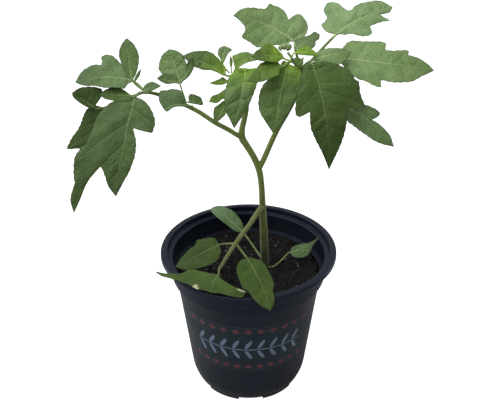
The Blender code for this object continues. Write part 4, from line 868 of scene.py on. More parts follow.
# Leaflets. "midrib" runs from the leaf base to its tip and "stalk" is where its short stalk starts.
# "face" is where the upper side looks, at the base and, if given, at the tip. "left" and "right" are
# the margins: each point is (where its side vein leaves the midrib, where it reaches the margin, both
# as a share of the midrib, and how far out the margin is there). "fold" lifts the halves (degrees),
# "curl" bends them down (per metre), "ripple" multiplies the relief and "sag" drops the short stalk.
# "tone" names the shades at base and tip, which hold painted light and shade as well as age, "young" is how
# yellow-green it is, "yellowBase" adds more (amount, reach), "bloom" makes it cooler, "dry" lists pale
# patches and "specks" is for pale dots.
rightJoint, crownJoint, leftEndJoint = (31, -9.5, 231), (23.5, -13, 235.2), (-81, -12.2, 208.2)
leafletTable = {
    "leftTerminalLeaflet": dict(
        stalk=(-62, -17, 218),
        midrib=[(-65, -20, 215.5), (-71, -36, 192), (-75, -50, 168)], face=[(-0.1, -0.85, 0.5)],
        left=[(0, 0, 5), (0.04, 0.1, 12.5), (0.09, 0.21, 15.5), (0.14, 0.31, 15), (0.18, 0.31, 8.5),
              (0.22, 0.3, 4), (0.32, 0.42, 7), (0.42, 0.54, 8), (0.62, 0.74, 6), (0.8, 0.88, 3)],
        right=[(0, 0, 4), (0.04, 0.1, 13), (0.09, 0.24, 18.5), (0.14, 0.4, 20), (0.18, 0.53, 22),
               (0.22, 0.66, 27), (0.27, 0.8, 27), (0.32, 0.97, 22), (0.42, 0.83, 15),
               (0.5, 0.73, 11), (0.62, 0.8, 8), (0.8, 0.92, 4.5)],
        fold=(8, 8), curl=(6, 5), tone=("mid", "dusky"), bloom=0.5),
    "leftHiddenLeaflet": dict(
        stalk=leftEndJoint,
        midrib=[(-84, -11.5, 206), (-96, -12, 178), (-110, -20, 140)], face=[(0.2, -0.85, 0.45)],
        left=[(0, 0, 5), (0.2, 0.25, 8), (0.4, 0.5, 8), (0.55, 0.64, 5.4), (0.7, 0.78, 2.5),
              (0.85, 0.9, 1.5)],
        right=[(0, 0.03, 8), (0.06, 0.15, 11), (0.14, 0.3, 11.4), (0.2, 0.45, 14), (0.26, 0.54, 14.6),
               (0.33, 0.52, 11), (0.4, 0.5, 7.6), (0.55, 0.58, 7), (0.7, 0.75, 4.5), (0.85, 0.9, 4.5)],
        fold=(5, 5), curl=(8, 4), tone=("mid", "mid")),
    "leftSideLeaflet": dict(
        stalk=(-62, -15.5, 217.6),
        midrib=[(-69, -12.5, 214.5), (-86.5, -15, 215.8)], face=[(0, -0.65, 0.76)],
        left=[(0.05, 0.08, 1.5), (0.3, 0.37, 4.2), (0.65, 0.76, 3.2)],
        right=[(0.04, 0.05, 1.5), (0.2, 0.25, 3.8), (0.4, 0.5, 5), (0.7, 0.8, 3.2)],
        fold=(10, 10), tone=("bright", "dusky"), bloom=-0.7),
    "leftCuppedLeaflet": dict(
        stalk=leftEndJoint,
        midrib=[(-90, -15, 208), (-101, -18, 218)], face=[(0.5, -0.7, 0.45)],
        left=[(0, 0.1, 2), (0.3, 0.55, 2.8), (0.7, 0.9, 2)],
        right=[(0.02, 0, 9), (0.12, 0.14, 11.4), (0.3, 0.43, 10), (0.5, 0.72, 7), (0.75, 0.88, 4.5)],
        fold=(12, 12), tone=("mid", "dusky")),
    "leftUpperLeaflet": dict(
        stalk=(-60, -16, 219),
        midrib=[(-68, -9, 222.5), (-85, -8, 224), (-101, -8, 221)], face=[(0.1, -0.6, 0.8)],
        left=[(0, 0.03, 3), (0.05, 0.08, 7), (0.3, 0.35, 7.6), (0.55, 0.62, 6), (0.8, 0.9, 3.2)],
        right=[(0, 0.1, 5), (0.05, 0.2, 9), (0.13, 0.3, 12.3), (0.2, 0.4, 15.3), (0.25, 0.48, 15.8),
               (0.3, 0.55, 14), (0.36, 0.53, 10.6), (0.42, 0.54, 8.6), (0.55, 0.65, 9),
               (0.65, 0.75, 8), (0.8, 0.88, 5.6)],
        fold=(5, 5), curl=(2, 2), tone=("bright", "mid"), bloom=0.6),
    "leftUprightLeaflet": dict(
        stalk=(-61, -15.5, 219),
        midrib=[(-66.5, -14.6, 224.7), (-68, -11.5, 235.5), (-68.5, -9, 247)], face=[(-0.1, -0.9, 0.3)],
        left=[(0.05, 0.1, 2.2), (0.25, 0.38, 4.2), (0.48, 0.62, 5.2), (0.75, 0.86, 3.2)],
        right=[(0.04, 0.1, 2.6), (0.2, 0.34, 5.3), (0.45, 0.6, 6.4), (0.75, 0.88, 3.8)],
        fold=(8, 8), curl=(2, 2), tone=("bright", "bright")),
    "leftSliverLeaflet": dict(
        stalk=(-62.6, -17, 221),
        midrib=[(-64.3, -17.2, 225.4), (-60.8, -16, 231.4)], face=[(0, -0.9, 0.3)],
        left=[(0.45, 0.5, 0.8)], right=[(0.45, 0.5, 1.1)],
        tone=("mid", "mid")),
    "leftCurvedLeaflet": dict(
        stalk=(-61.5, -17.6, 217.7),
        midrib=[(-60.5, -19.5, 218.9), (-55.5, -20.5, 221.5), (-49.5, -20.5, 223)], face=[(0, -0.65, 0.76)],
        left=[(0.05, 0.08, 1.6), (0.18, 0.24, 3.4), (0.5, 0.58, 3.9), (0.78, 0.86, 1.8)],
        right=[(0.05, 0.08, 1.2), (0.2, 0.24, 3), (0.5, 0.54, 2.2), (0.78, 0.84, 1.2)],
        fold=(4, 4), tone=("mid", "mid"), bloom=0.7),
    "leftFoldedLeaflet": dict(
        stalk=(-33, -11, 207.5),
        midrib=[(-36, -17, 210), (-42, -21, 211.5), (-48, -25, 210.5)], face=[(0, -0.85, 0.5)],
        left=[(0.04, 0.05, 0.9), (0.5, 0.55, 0.9), (0.85, 0.95, 2)],
        right=[(0.02, 0.08, 4.5), (0.1, 0.2, 8), (0.25, 0.42, 9.6), (0.4, 0.66, 9.8),
               (0.55, 0.8, 10.4), (0.7, 0.94, 7.4), (0.85, 1, 3.5)],
        fold=(5, 5), curl=(3, 3), tone=("bright", "bright"), bloom=0.7),
    "leftTuftLeaflet": dict(
        stalk=(-37, -9.8, 208.8),
        midrib=[(-35.5, -6, 208.2), (-27, -6, 207)], face=[(0, -0.6, 0.8)],
        left=[(0.05, -0.1, 3), (0.2, 0.05, 6), (0.45, 0.42, 5.6), (0.75, 0.78, 4.2)],
        right=[(0.5, 0.56, 0.9), (0.85, 0.9, 1.1)],
        tone=("bright", "mid"), bloom=-0.5),
    "leftOvalLeaflet": dict(
        stalk=(-37, -10, 210),
        midrib=[(-40, -10, 222), (-42.5, -7, 231), (-46, -2.5, 239)], face=[(0, -0.85, 0.5)],
        left=[(0.04, 0.15, 6), (0.2, 0.36, 8.6), (0.34, 0.5, 9.6), (0.52, 0.72, 8), (0.75, 0.9, 5)],
        right=[(0.05, 0.15, 4), (0.3, 0.44, 6.6), (0.5, 0.65, 6.6), (0.75, 0.88, 3.6)],
        fold=(6, 6), curl=(2, 2), tone=("pale", "bright"), young=0.05),
    "leftOvalSideLeaflet": dict(
        stalk=(-39.8, -12.5, 221.5),
        midrib=[(-40.8, -13.2, 222.5), (-52, -16, 226)], face=[(0, -0.75, 0.66)],
        left=[(0.1, 0.14, 0.9), (0.45, 0.53, 2.4), (0.75, 0.82, 1.5)],
        right=[(0.05, 0.12, 2.5), (0.35, 0.45, 3.8), (0.65, 0.76, 2.9)],
        fold=(8, 8), tone=("bright", "mid"), bloom=0.5),
    "leftOvalUpperLeaflet": dict(
        stalk=(-38.6, -13.2, 222.5),
        midrib=[(-38, -14.2, 223.8), (-33.5, -15, 231), (-31.5, -15, 237.5)], face=[(-0.3, -0.8, 0.5)],
        left=[(0.25, 0.3, 1.4), (0.5, 0.58, 2.6), (0.8, 0.88, 1.5)],
        right=[(0.25, 0.34, 2.4), (0.55, 0.66, 2.6), (0.8, 0.88, 1.4)],
        fold=(8, 8), tone=("bright", "dusky"), bloom=-0.3),
    "crownLeftLeaflet": dict(
        stalk=(-10.5, -6.5, 224.5),
        midrib=[(-13.5, -9.4, 226), (-26.5, -9.5, 233.2), (-38, -9, 236.5)], face=[(0, -0.6, 0.8)],
        left=[(0.03, 0.04, 1.4), (0.1, 0.14, 1.6), (0.18, 0.25, 2.2), (0.32, 0.43, 4.6),
              (0.5, 0.6, 5), (0.7, 0.78, 3.2), (0.86, 0.9, 1.4)],
        right=[(0.02, 0.02, 3.4), (0.06, 0.13, 6), (0.14, 0.28, 7.6), (0.25, 0.44, 8.2),
               (0.45, 0.66, 6.2), (0.7, 0.84, 3.4)],
        fold=(8, 8), curl=(2, 2), tone=("bright", "mid"), ripple=1.9, yellowBase=(0.9, 15)),
    "crownUpperLeaflet": dict(
        stalk=(-11, -4.5, 225.5),
        midrib=[(-15, -4, 231.5), (-13.5, -2.5, 241)], face=[(0, -0.9, 0.4)],
        left=[(0.15, 0.26, 2), (0.35, 0.46, 3.4), (0.6, 0.7, 3.5), (0.85, 0.92, 2)],
        right=[(0.15, 0.24, 1.4), (0.45, 0.56, 2.4), (0.7, 0.84, 4.4)],
        fold=(6, 6), tone=("pale", "pale"), ripple=1.9, yellowBase=(0.7, 5)),
    "crownSliverLeaflet": dict(
        stalk=(-9.7, -6.2, 226),
        midrib=[(-10, -6.5, 230.5), (-10.2, -6, 236)], face=[(0, -0.9, 0.4)],
        left=[(0.4, 0.45, 0.8)], right=[(0.4, 0.48, 1.1)],
        tone=("bright", "mid"), young=0.3),
    "crownArchedLeaflet": dict(
        stalk=(-8.5, -5, 225.5),
        midrib=[(-7.8, -1.5, 226.5), (-1.5, -1, 231), (5.5, -2.5, 233)], face=[(0, -0.6, 0.8)],
        left=[(0.05, 0.12, 4), (0.14, 0.22, 8), (0.36, 0.42, 7.2), (0.6, 0.66, 5.8), (0.8, 0.84, 3.2)],
        right=[(0.2, 0.2, 0.6), (0.5, 0.5, 0.6), (0.78, 0.8, 0.9)],
        fold=(8, 0), curl=(2, 0), tone=("pale", "bright"), ripple=1.9, yellowBase=(0.9, 15)),
    "crownToothedLeaflet": dict(
        stalk=(-8.5, -7.2, 222.5),
        midrib=[(-12, -9, 222), (-22.5, -9.5, 221)], face=[(0, -0.75, 0.66)],
        left=[(0.2, 0.26, 1.9), (0.55, 0.65, 1.6)],
        right=[(0.1, 0.26, 2.8), (0.32, 0.42, 2), (0.6, 0.68, 1.2)],
        fold=(6, 6), tone=("bright", "dusky"), bloom=-1.3, ripple=1.9, young=0.5),
    "crownLobedLeaflet": dict(
        stalk=(-5, -7, 217.5),
        midrib=[(-11, -8, 217), (-23, -12, 210.5)], face=[(0, -0.8, 0.6)],
        left=[(0.15, 0.3, 4.2), (0.4, 0.5, 3), (0.6, 0.72, 3.4)],
        right=[(0.15, 0.18, 1.4), (0.4, 0.46, 1.2), (0.65, 0.77, 2)],
        fold=(4, 4), tone=("pale", "mid"), bloom=-1, ripple=1.9, young=0.4),
    "crownLowerLeaflet": dict(
        stalk=(-3.8, -7, 212),
        midrib=[(-11.5, -9, 211), (-20, -14, 197.5)], face=[(0, -0.85, 0.5)],
        left=[(0.18, 0.24, 1.6), (0.4, 0.48, 2.9), (0.7, 0.78, 1.6)],
        right=[(0.1, 0.17, 2.6), (0.22, 0.32, 3.5), (0.4, 0.52, 4.9), (0.68, 0.78, 3)],
        fold=(6, 6), tone=("pale", "mid"), yellowBase=(0.9, 12)),
    "crownFrontLeaflet": dict(
        stalk=(-8.3, -6.8, 224.8),
        midrib=[(-1.5, -11.8, 229.5), (-4.5, -26.5, 217), (-8, -32, 202)],
        face=[(0, -0.7, 0.7), (0, -0.9, 0.4)],
        left=[(0, -0.03, 2.6), (0.04, -0.04, 5.2), (0.1, 0.03, 7.6), (0.2, 0.15, 8),
              (0.34, 0.32, 7.2), (0.52, 0.53, 5.8), (0.7, 0.73, 3.6), (0.86, 0.87, 1.8)],
        right=[(0, -0.02, 3), (0.04, 0.05, 6.8), (0.1, 0.18, 9), (0.2, 0.34, 9.4), (0.36, 0.53, 9),
               (0.55, 0.74, 6.8), (0.78, 0.89, 3)],
        fold=(5, 5), curl=(6, 8), tone=("bright", "mid"), bloom=0.2, ripple=1.9, yellowBase=(0.75, 15)),
    "topBroadLeaflet": dict(
        stalk=(27, -1.5, 240),
        midrib=[(26, 0, 243.5), (9, 4, 252), (-8.5, 6, 256.5)], face=[(0, -0.65, 0.76)],
        left=[(0.02, 0.03, 3.6), (0.06, 0.08, 6.6), (0.12, 0.17, 9), (0.22, 0.3, 13.2),
              (0.32, 0.44, 16.2), (0.4, 0.59, 15.2), (0.5, 0.78, 13), (0.58, 0.75, 9),
              (0.68, 0.78, 6.4), (0.8, 0.86, 3.6)],
        right=[(0, -0.1, 6.5), (0.05, -0.05, 13.4), (0.1, 0.03, 16), (0.15, 0.13, 17.2),
               (0.19, 0.185, 13.6), (0.23, 0.215, 10), (0.28, 0.28, 12.8), (0.38, 0.43, 14.4),
               (0.45, 0.54, 14.2), (0.52, 0.56, 10.8), (0.68, 0.74, 8), (0.8, 0.88, 6)],
        fold=(3, 3), curl=(2, 2), tone=("pale", "bright"), bloom=-0.2),
    "topLittleLeaflet": dict(
        stalk=(28.3, -6, 235.4),
        midrib=[(27.5, -7.5, 241), (34, -6.5, 245), (40.5, -6.5, 248.5)], face=[(0, -0.65, 0.76)],
        left=[(0.04, 0.1, 4.2), (0.4, 0.5, 3.1), (0.58, 0.66, 2.6), (0.76, 0.84, 3.1)],
        right=[(0.05, 0.13, 3.2), (0.35, 0.48, 6), (0.55, 0.7, 4.6), (0.68, 0.75, 3), (0.84, 0.9, 2.7)],
        fold=(4, 4), tone=("bright", "mid"), bloom=0.6),
    "topDarkLeaflet": dict(
        stalk=crownJoint,
        midrib=[(19.5, -14, 237), (11, -18, 239.7), (1.8, -21, 240)], face=[(0, -0.5, 0.87)],
        left=[(0.1, 0.14, 3), (0.28, 0.35, 5.5), (0.52, 0.6, 5.7), (0.78, 0.86, 3.8)],
        right=[(0, 0, 4.6), (0.04, 0.08, 7), (0.25, 0.35, 8.2), (0.6, 0.7, 5)],
        fold=(6, 6), curl=(2, 2), tone=("dusky", "mid"), bloom=-1.2, ripple=1.9, yellowBase=(1, 15)),
    "topLowerLeaflet": dict(
        stalk=crownJoint,
        midrib=[(18.3, -19, 233.5), (9.3, -25, 232.5), (-0.2, -30.5, 228.8)], face=[(0, -0.65, 0.76)],
        left=[(0.1, 0.14, 3), (0.2, 0.26, 5.3), (0.5, 0.6, 5.5), (0.78, 0.86, 3.4)],
        right=[(0.02, 0, 3.2), (0.1, 0.17, 5.5), (0.35, 0.44, 5.7), (0.62, 0.7, 3.4)],
        fold=(6, 6), curl=(4, 4), tone=("mid", "mid"), bloom=-0.3, ripple=1.9, young=0.1,
        yellowBase=(0.6, 15)),
    "centreLeaflet": dict(
        stalk=(24.5, -13, 234.8),
        midrib=[(22.2, -13.9, 233.6), (18.2, -25.5, 218.5), (14, -37, 201)],
        face=[(0, -0.7, 0.7), (0, -0.9, 0.4)],
        left=[(0, 0, 1.6), (0.04, 0.01, 5.8), (0.09, 0.07, 8.4), (0.16, 0.16, 9.8), (0.26, 0.28, 9.8),
              (0.38, 0.42, 9), (0.55, 0.6, 7.6), (0.72, 0.76, 5.6), (0.86, 0.88, 3.2)],
        right=[(0, -0.05, 2.2), (0.04, 0.05, 4), (0.12, 0.22, 6.4), (0.24, 0.37, 10.8), (0.36, 0.51, 12),
               (0.5, 0.65, 11.6), (0.66, 0.78, 9.4), (0.82, 0.89, 5)],
        fold=(6, 6), curl=(6, 6), tone=("bright", "mid"), bloom=-0.3, ripple=1.4, yellowBase=(0.8, 15)),
    "topYellowLeaflet": dict(
        stalk=(24.2, -12.4, 235.6),
        midrib=[(26.5, -13.8, 240), (33, -14.2, 240.2), (39.6, -14.5, 238.6)], face=[(0, -0.7, 0.7)],
        left=[(0.05, 0.08, 1.8), (0.25, 0.3, 3.4), (0.42, 0.48, 4.2), (0.6, 0.64, 3),
              (0.8, 0.85, 1.6)],
        right=[(0.06, 0.1, 1.2), (0.4, 0.45, 1.8), (0.75, 0.8, 1.2)],
        tone=("pale", "pale"), young=0.9, ripple=1.8),
    "topKnotLeaflet": dict(
        stalk=(29.3, -4.7, 231.8),
        midrib=[(30.5, -15.5, 236.8), (28, -18.5, 233.5)], face=[(0, -0.7, 0.7)],
        left=[(0.4, 0.46, 1.6)], right=[(0.1, 0.05, 3.6), (0.35, 0.4, 4.4), (0.75, 0.83, 2.5)],
        tone=("mid", "mid"), bloom=-1, young=0.05),
    "topRightLeaflet": dict(
        stalk=(50, 8.6, 243),
        midrib=[(52.5, 9.5, 245), (67, 13, 253.5), (85, 16, 259)], face=[(0, -0.65, 0.76)],
        left=[(0, -0.12, 5.5), (0.04, -0.1, 11), (0.08, 0.04, 11.6), (0.12, 0.09, 17.6), (0.16, 0.2, 20),
              (0.2, 0.3, 17), (0.25, 0.35, 11), (0.32, 0.4, 8), (0.4, 0.52, 9), (0.63, 0.74, 8.2),
              (0.78, 0.88, 5.8)],
        right=[(0.04, 0.09, 3.6), (0.12, 0.2, 6), (0.16, 0.26, 8.5), (0.25, 0.37, 12), (0.32, 0.47, 13),
               (0.4, 0.53, 11), (0.47, 0.55, 7.4), (0.55, 0.74, 7.6), (0.63, 0.9, 8.8), (0.7, 0.82, 5),
               (0.78, 0.79, 2.8), (0.88, 0.92, 3.2)],
        fold=(4, 4), curl=(3, 3), tone=("pale", "pale")),
    "rightInnerLeaflet": dict(
        stalk=rightJoint,
        midrib=[(37, -12.5, 235.6), (48, -13, 239), (58, -12.5, 240)], face=[(0, -0.7, 0.7)],
        left=[(0.05, 0.1, 3.4), (0.15, 0.22, 4.6), (0.45, 0.54, 3.7), (0.8, 0.88, 1.7)],
        right=[(0.03, 0.06, 4.4), (0.1, 0.16, 6.6), (0.28, 0.34, 7.8), (0.48, 0.58, 7.4),
               (0.75, 0.86, 3.6)],
        fold=(4, 4), tone=("pale", "bright")),
    "rightLongLeaflet": dict(
        stalk=rightJoint,
        midrib=[(52, -8, 235.5), (70, -10, 234), (88, -13, 232.5), (105, -16, 230.5)],
        face=[(0, -0.6, 0.8)],
        left=[(0, 0.03, 7), (0.04, 0.09, 12), (0.1, 0.18, 13.5), (0.16, 0.26, 13.8),
              (0.23, 0.34, 14), (0.29, 0.42, 15), (0.34, 0.47, 14), (0.39, 0.47, 9.6),
              (0.48, 0.58, 9.8), (0.6, 0.71, 10.6), (0.64, 0.71, 7.8), (0.8, 0.85, 6.4),
              (0.9, 0.94, 3.6)],
        right=[(0, 0.04, 5), (0.04, 0.1, 8.6), (0.1, 0.2, 12.6), (0.16, 0.3, 14), (0.23, 0.4, 16.8),
               (0.29, 0.47, 17.4), (0.34, 0.46, 12.2), (0.48, 0.58, 12.6), (0.6, 0.7, 11.6),
               (0.68, 0.78, 10), (0.8, 0.88, 6)],
        fold=(3, 3), curl=(3, 3), tone=("pale", "bright"), bloom=-0.2),
    "frontDarkLeaflet": dict(
        stalk=rightJoint,
        midrib=[(36, -22, 234.5), (42.5, -37, 211.5), (45, -48, 184)],
        face=[(0.1, -0.7, 0.7), (0.1, -0.9, 0.4)],
        left=[(0, -0.03, 5.4), (0.03, 0.01, 11.2), (0.06, 0.06, 16.2), (0.1, 0.12, 19.4),
              (0.14, 0.21, 21.6), (0.17, 0.24, 23.2), (0.2, 0.34, 22.8), (0.25, 0.48, 23.8),
              (0.3, 0.47, 18.2), (0.35, 0.46, 12.6), (0.44, 0.53, 12.2), (0.54, 0.63, 10.8),
              (0.66, 0.76, 7.8), (0.82, 0.89, 3.6)],
        right=[(0, -0.06, 2.4), (0.03, -0.02, 5.4), (0.08, 0.07, 8.4), (0.14, 0.2, 12.2),
               (0.2, 0.33, 15.2), (0.24, 0.44, 16.4), (0.28, 0.48, 14.8), (0.33, 0.45, 8.6),
               (0.4, 0.52, 9), (0.5, 0.6, 9.2), (0.64, 0.71, 7.4), (0.8, 0.85, 3.8)],
        fold=(5, 5), curl=(6, 6), tone=("mid", "deep"), bloom=-0.2, young=0.02),
    "rightLowerLeaflet": dict(
        stalk=rightJoint,
        midrib=[(53, -17, 211), (70, -22, 202), (85, -26, 188)], face=[(0.2, -0.8, 0.5)],
        left=[(0.05, 0.13, 4.4), (0.12, 0.28, 6.4), (0.2, 0.4, 7.8), (0.28, 0.51, 8.6),
              (0.33, 0.56, 7.4), (0.38, 0.55, 4.4), (0.44, 0.52, 2.2), (0.55, 0.61, 2.8),
              (0.64, 0.71, 3), (0.78, 0.84, 2.8)],
        right=[(0.05, 0.1, 4.2), (0.16, 0.26, 7.8), (0.3, 0.41, 8), (0.5, 0.66, 7.4),
               (0.76, 0.87, 4.2)],
        fold=(5, 5), curl=(4, 4), tone=("pale", "bright")),
    "lowLeftLeaflet": dict(
        stalk=(-9.5, -18.5, 116.3),
        midrib=[(-19.5, -13, 111.5), (-34, -18, 106.5), (-48, -22, 100)], face=[(0.1, -0.45, 0.88)],
        left=[(0.02, 0.01, 4), (0.07, 0.06, 6.6), (0.15, 0.15, 9.4), (0.3, 0.34, 10.4),
              (0.5, 0.59, 8.8), (0.75, 0.88, 4.4)],
        right=[(0, 0, 1.6), (0.04, 0, 4.6), (0.1, 0.1, 7.8), (0.18, 0.24, 9), (0.26, 0.37, 10),
               (0.31, 0.43, 7.4), (0.4, 0.55, 7), (0.6, 0.79, 4)],
        fold=(4, 4), curl=(4, 4), tone=("deep", "deep"), young=0.1),
    "lowFrontLeaflet": dict(
        stalk=(-8.5, -18.5, 116.5),
        midrib=[(-1, -27, 110.5), (4.5, -43, 110), (9.5, -56.5, 106.5), (13, -67, 99.8)],
        face=[(0.15, -0.45, 0.88), (0.15, -0.75, 0.66)],
        left=[(0, 0.03, 3.4), (0.04, 0.09, 6.6), (0.1, 0.21, 8.4), (0.22, 0.41, 8.2),
              (0.36, 0.63, 7), (0.41, 0.67, 5.6), (0.6, 0.83, 4.4), (0.8, 0.93, 2.6)],
        right=[(0, 0.01, 2), (0.03, 0.03, 4.4), (0.08, 0.13, 8.6), (0.18, 0.27, 11.2),
               (0.3, 0.42, 11.6), (0.38, 0.53, 11.8), (0.43, 0.59, 9.8), (0.58, 0.76, 8),
               (0.76, 0.9, 4.8), (0.9, 0.96, 2.2)],
        fold=(4, 4), curl=(4, 4), tone=("deep", "deep"), young=0.1),
    "lowTerminalLeaflet": dict(
        stalk=(-18.5, -38, 109),
        midrib=[(-19, -42, 108), (-21.5, -50, 107.5), (-22.5, -57, 105.5)], face=[(0, -0.3, 0.95)],
        left=[(0.04, 0.07, 2), (0.12, 0.22, 5), (0.22, 0.44, 12.2), (0.4, 0.62, 20.8),
              (0.5, 1.16, 18.6), (0.6, 1.12, 12.6), (0.8, 1.04, 6.6)],
        right=[(0.03, 0.05, 3), (0.07, 0.06, 7.2), (0.12, 0.06, 13.8), (0.17, 0.16, 18.2),
               (0.24, 0.35, 22.4), (0.35, 0.4, 27.6), (0.44, 0.4, 38.6), (0.5, 0.54, 30.8),
               (0.57, 0.6, 24), (0.64, 0.68, 15.8), (0.73, 0.84, 9.2), (0.86, 0.9, 3.8)],
        curl=(2, 2), tone=("dusky", "deep"), bloom=0.3, young=0.1,
        dry=[(0.57, 17.5, 2.6), (0.61, 20, 2.4), (0.8, -10, 2.2)]),
    "rightSeedLeaf": dict(
        stalk=(14.3, 0.2, 84.9),
        midrib=[(29, 7, 92.5), (40, 8, 96.5), (50, 10.5, 103.5)], face=[(0, -0.5, 0.87)],
        left=[(0.05, 0.08, 3.2), (0.2, 0.24, 4.2), (0.4, 0.44, 3.4), (0.6, 0.64, 1.6),
              (0.78, 0.82, 0.8)],
        right=[(0.04, 0.06, 3.6), (0.15, 0.2, 6), (0.33, 0.4, 6.8), (0.5, 0.57, 4.8),
               (0.64, 0.7, 2.2), (0.82, 0.86, 0.9)],
        fold=(5, 5), tone=("mid", "mid"), bloom=1.2, specks=0.45, sag=(0, 0, -2.4)),
    "leftSeedLeaf": dict(
        stalk=(10.5, 4.5, 87),
        midrib=[(-4, 21, 100.5), (-15, 30, 106.5), (-27.4, 40, 110)], face=[(0.2, -0.55, 0.8)],
        left=[(0.04, 0.08, 3), (0.2, 0.28, 4.6), (0.45, 0.55, 4.8), (0.75, 0.82, 3.8),
              (0.9, 0.95, 2.6)],
        right=[(0.04, 0.1, 3.4), (0.2, 0.3, 6), (0.45, 0.56, 7.4), (0.7, 0.78, 6.6),
               (0.88, 0.93, 4)],
        fold=(5, 5), tone=("mid", "bright"), bloom=1.4),
}
youngLeaflets = ("crownSliverLeaflet", "crownToothedLeaflet", "crownLowerLeaflet", "topYellowLeaflet")


# Every blade's skin: its thickness, rib, side veins, swells and teeth, and how fine its mesh is.
bladeShape = {
    "thickness": 0.36, "edgeThickness": 0.14, "cellSize": 0.85, "columns": 15, "crowding": 1.35,
    "ribDepth": 0.5, "veinDepth": 0.2, "quilt": 0.3, "swell": 0.75, "pucker": 0.28, "edgeWave": 0.8,
    "stalkRadius": 0.62, "stalkStep": 0.9, "tipHalfWidth": 0.16, "teeth": 0.26,
    "neck": 0.8, "ribSamples": 60, "marginSamples": 900, "rowSamples": 2400, "veinGap": 8.0,
}


def chainPoint(points, t):
    # places at t on the smooth line through 2, 3 or 4 points; it runs on straight beyond its ends
    t = np.asarray(t, float)
    count, inside, step = len(points) - 1, np.clip(t, 0, 1), 0.02

    def onLine(at):
        spots = np.zeros(at.shape + (3,))
        for i, point in enumerate(points):
            weight = np.ones_like(at)
            for j in range(count + 1):
                if j != i:
                    weight = weight * (at * count - j) / (i - j)
            spots += weight[..., None] * np.array(point, float)
        return spots

    spots = onLine(inside)
    back = np.where(t < 0.5, inside + step, inside - step)
    return spots + (spots - onLine(back)) / step * np.abs(t - inside)[..., None]


def bladeFrame(leaf, along):
    # the upper side's direction and the direction to the left at each place along the midrib
    points, step = leaf["midrib"], 0.02
    ahead = chainPoint(points, along + step) - chainPoint(points, along - step)
    ahead /= np.linalg.norm(ahead, axis=-1, keepdims=True)
    mix = np.clip(along, 0, 1)[..., None]
    face = np.array(leaf["face"][0], float) * (1 - mix) + np.array(leaf["face"][-1], float) * mix
    normal = face - ahead * (face * ahead).sum(-1, keepdims=True)
    normal /= np.linalg.norm(normal, axis=-1, keepdims=True)
    return normal, np.cross(normal, ahead), ahead


def bladePoint(leaf, along, out, side):
    # a spot on the bent sheet and the direction that its upper side faces; side is 1 left, -1 right
    index = 0 if side > 0 else 1
    angle, curl = math.radians(leaf.get("fold", (0, 0))[index]), leaf.get("curl", (0, 0))[index] * mm
    normal, left, _ = bladeFrame(leaf, along)
    lift = out * math.sin(angle) - curl * out * out
    spot = chainPoint(leaf["midrib"], along) + left * (side * out * math.cos(angle))[..., None]
    spot += normal * lift[..., None]
    rise = (math.sin(angle) - 2 * curl * out) / math.cos(angle)
    up = normal - left * (side * rise)[..., None]
    return spot, up / np.linalg.norm(up, axis=-1, keepdims=True)


def smoothMargin(margin, length, neck):
    # dense (vein start, place along, distance out) samples of one margin, rounded between its points
    rows = [(-neck, -neck, bladeShape["stalkRadius"])]
    rows += [] if margin[0][0] == 0 else [(0.0, 0.0, bladeShape["stalkRadius"] + 0.1)]
    rows = np.array(rows + list(margin) + [(1.0, 1.0, bladeShape["tipHalfWidth"])], float)
    sketch = np.column_stack([rows[:, 1] * length, rows[:, 2], rows[:, 0] * length * 0.5])
    chord = np.concatenate([[0], np.cumsum(np.linalg.norm(np.diff(sketch, axis=0), axis=1))])
    slopes = np.gradient(rows, chord, axis=0)
    secants = np.diff(rows, axis=0) / np.diff(chord)[:, None]
    # the vein start may only grow, and the corners of the lobes stay fairly sharp
    tight = np.minimum(np.abs(np.vstack([secants, secants[-1]])), np.abs(np.vstack([secants[0], secants])))
    sign = np.vstack([secants, secants[-1]]) * np.vstack([secants[0], secants]) > 0
    limited = np.where(sign, np.sign(slopes) * np.minimum(np.abs(slopes), 2.2 * tight), 0.35 * slopes)
    limited[:, 0] = np.where(sign[:, 0], limited[:, 0], 0)
    at = np.linspace(0, chord[-1], bladeShape["marginSamples"])
    k = np.clip(np.searchsorted(chord, at, side="right") - 1, 0, len(chord) - 2)
    span = (chord[k + 1] - chord[k])[:, None]
    t = ((at - chord[k])[:, None]) / span
    curve = ((2 * t ** 3 - 3 * t ** 2 + 1) * rows[k] + (t ** 3 - 2 * t ** 2 + t) * span * limited[k]
             + (3 * t ** 2 - 2 * t ** 3) * rows[k + 1] + (t ** 3 - t ** 2) * span * limited[k + 1])
    curve[:, 0] = np.maximum.accumulate(curve[:, 0])
    curve[:, 0] += np.linspace(0, 1e-5, len(curve))
    curve[:, 2] = np.maximum(curve[:, 2], bladeShape["tipHalfWidth"])
    return curve


def pickRows(leaf, length, neck):
    # vein starts spaced so that neither margin has a step much longer than one cell
    margins = {side: smoothMargin(leaf[key], length, neck) for side, key in ((1, "left"), (-1, "right"))}
    starts = np.linspace(-neck, 1.0, bladeShape["rowSamples"])
    pace = np.full(len(starts) - 1, 0.0)
    for margin in margins.values():
        along = np.interp(starts, margin[:, 0], margin[:, 1]) * length
        out = np.interp(starts, margin[:, 0], margin[:, 2])
        pace = np.maximum(pace, np.hypot(np.diff(along), np.diff(out)))
    pace = np.maximum(pace, np.diff(starts) * length * 0.55)
    run = np.concatenate([[0], np.cumsum(pace)])
    count = max(8, int(round(run[-1] / bladeShape["cellSize"])))
    rows = np.interp(np.linspace(0, run[-1], count + 1), run, starts)
    return rows, margins


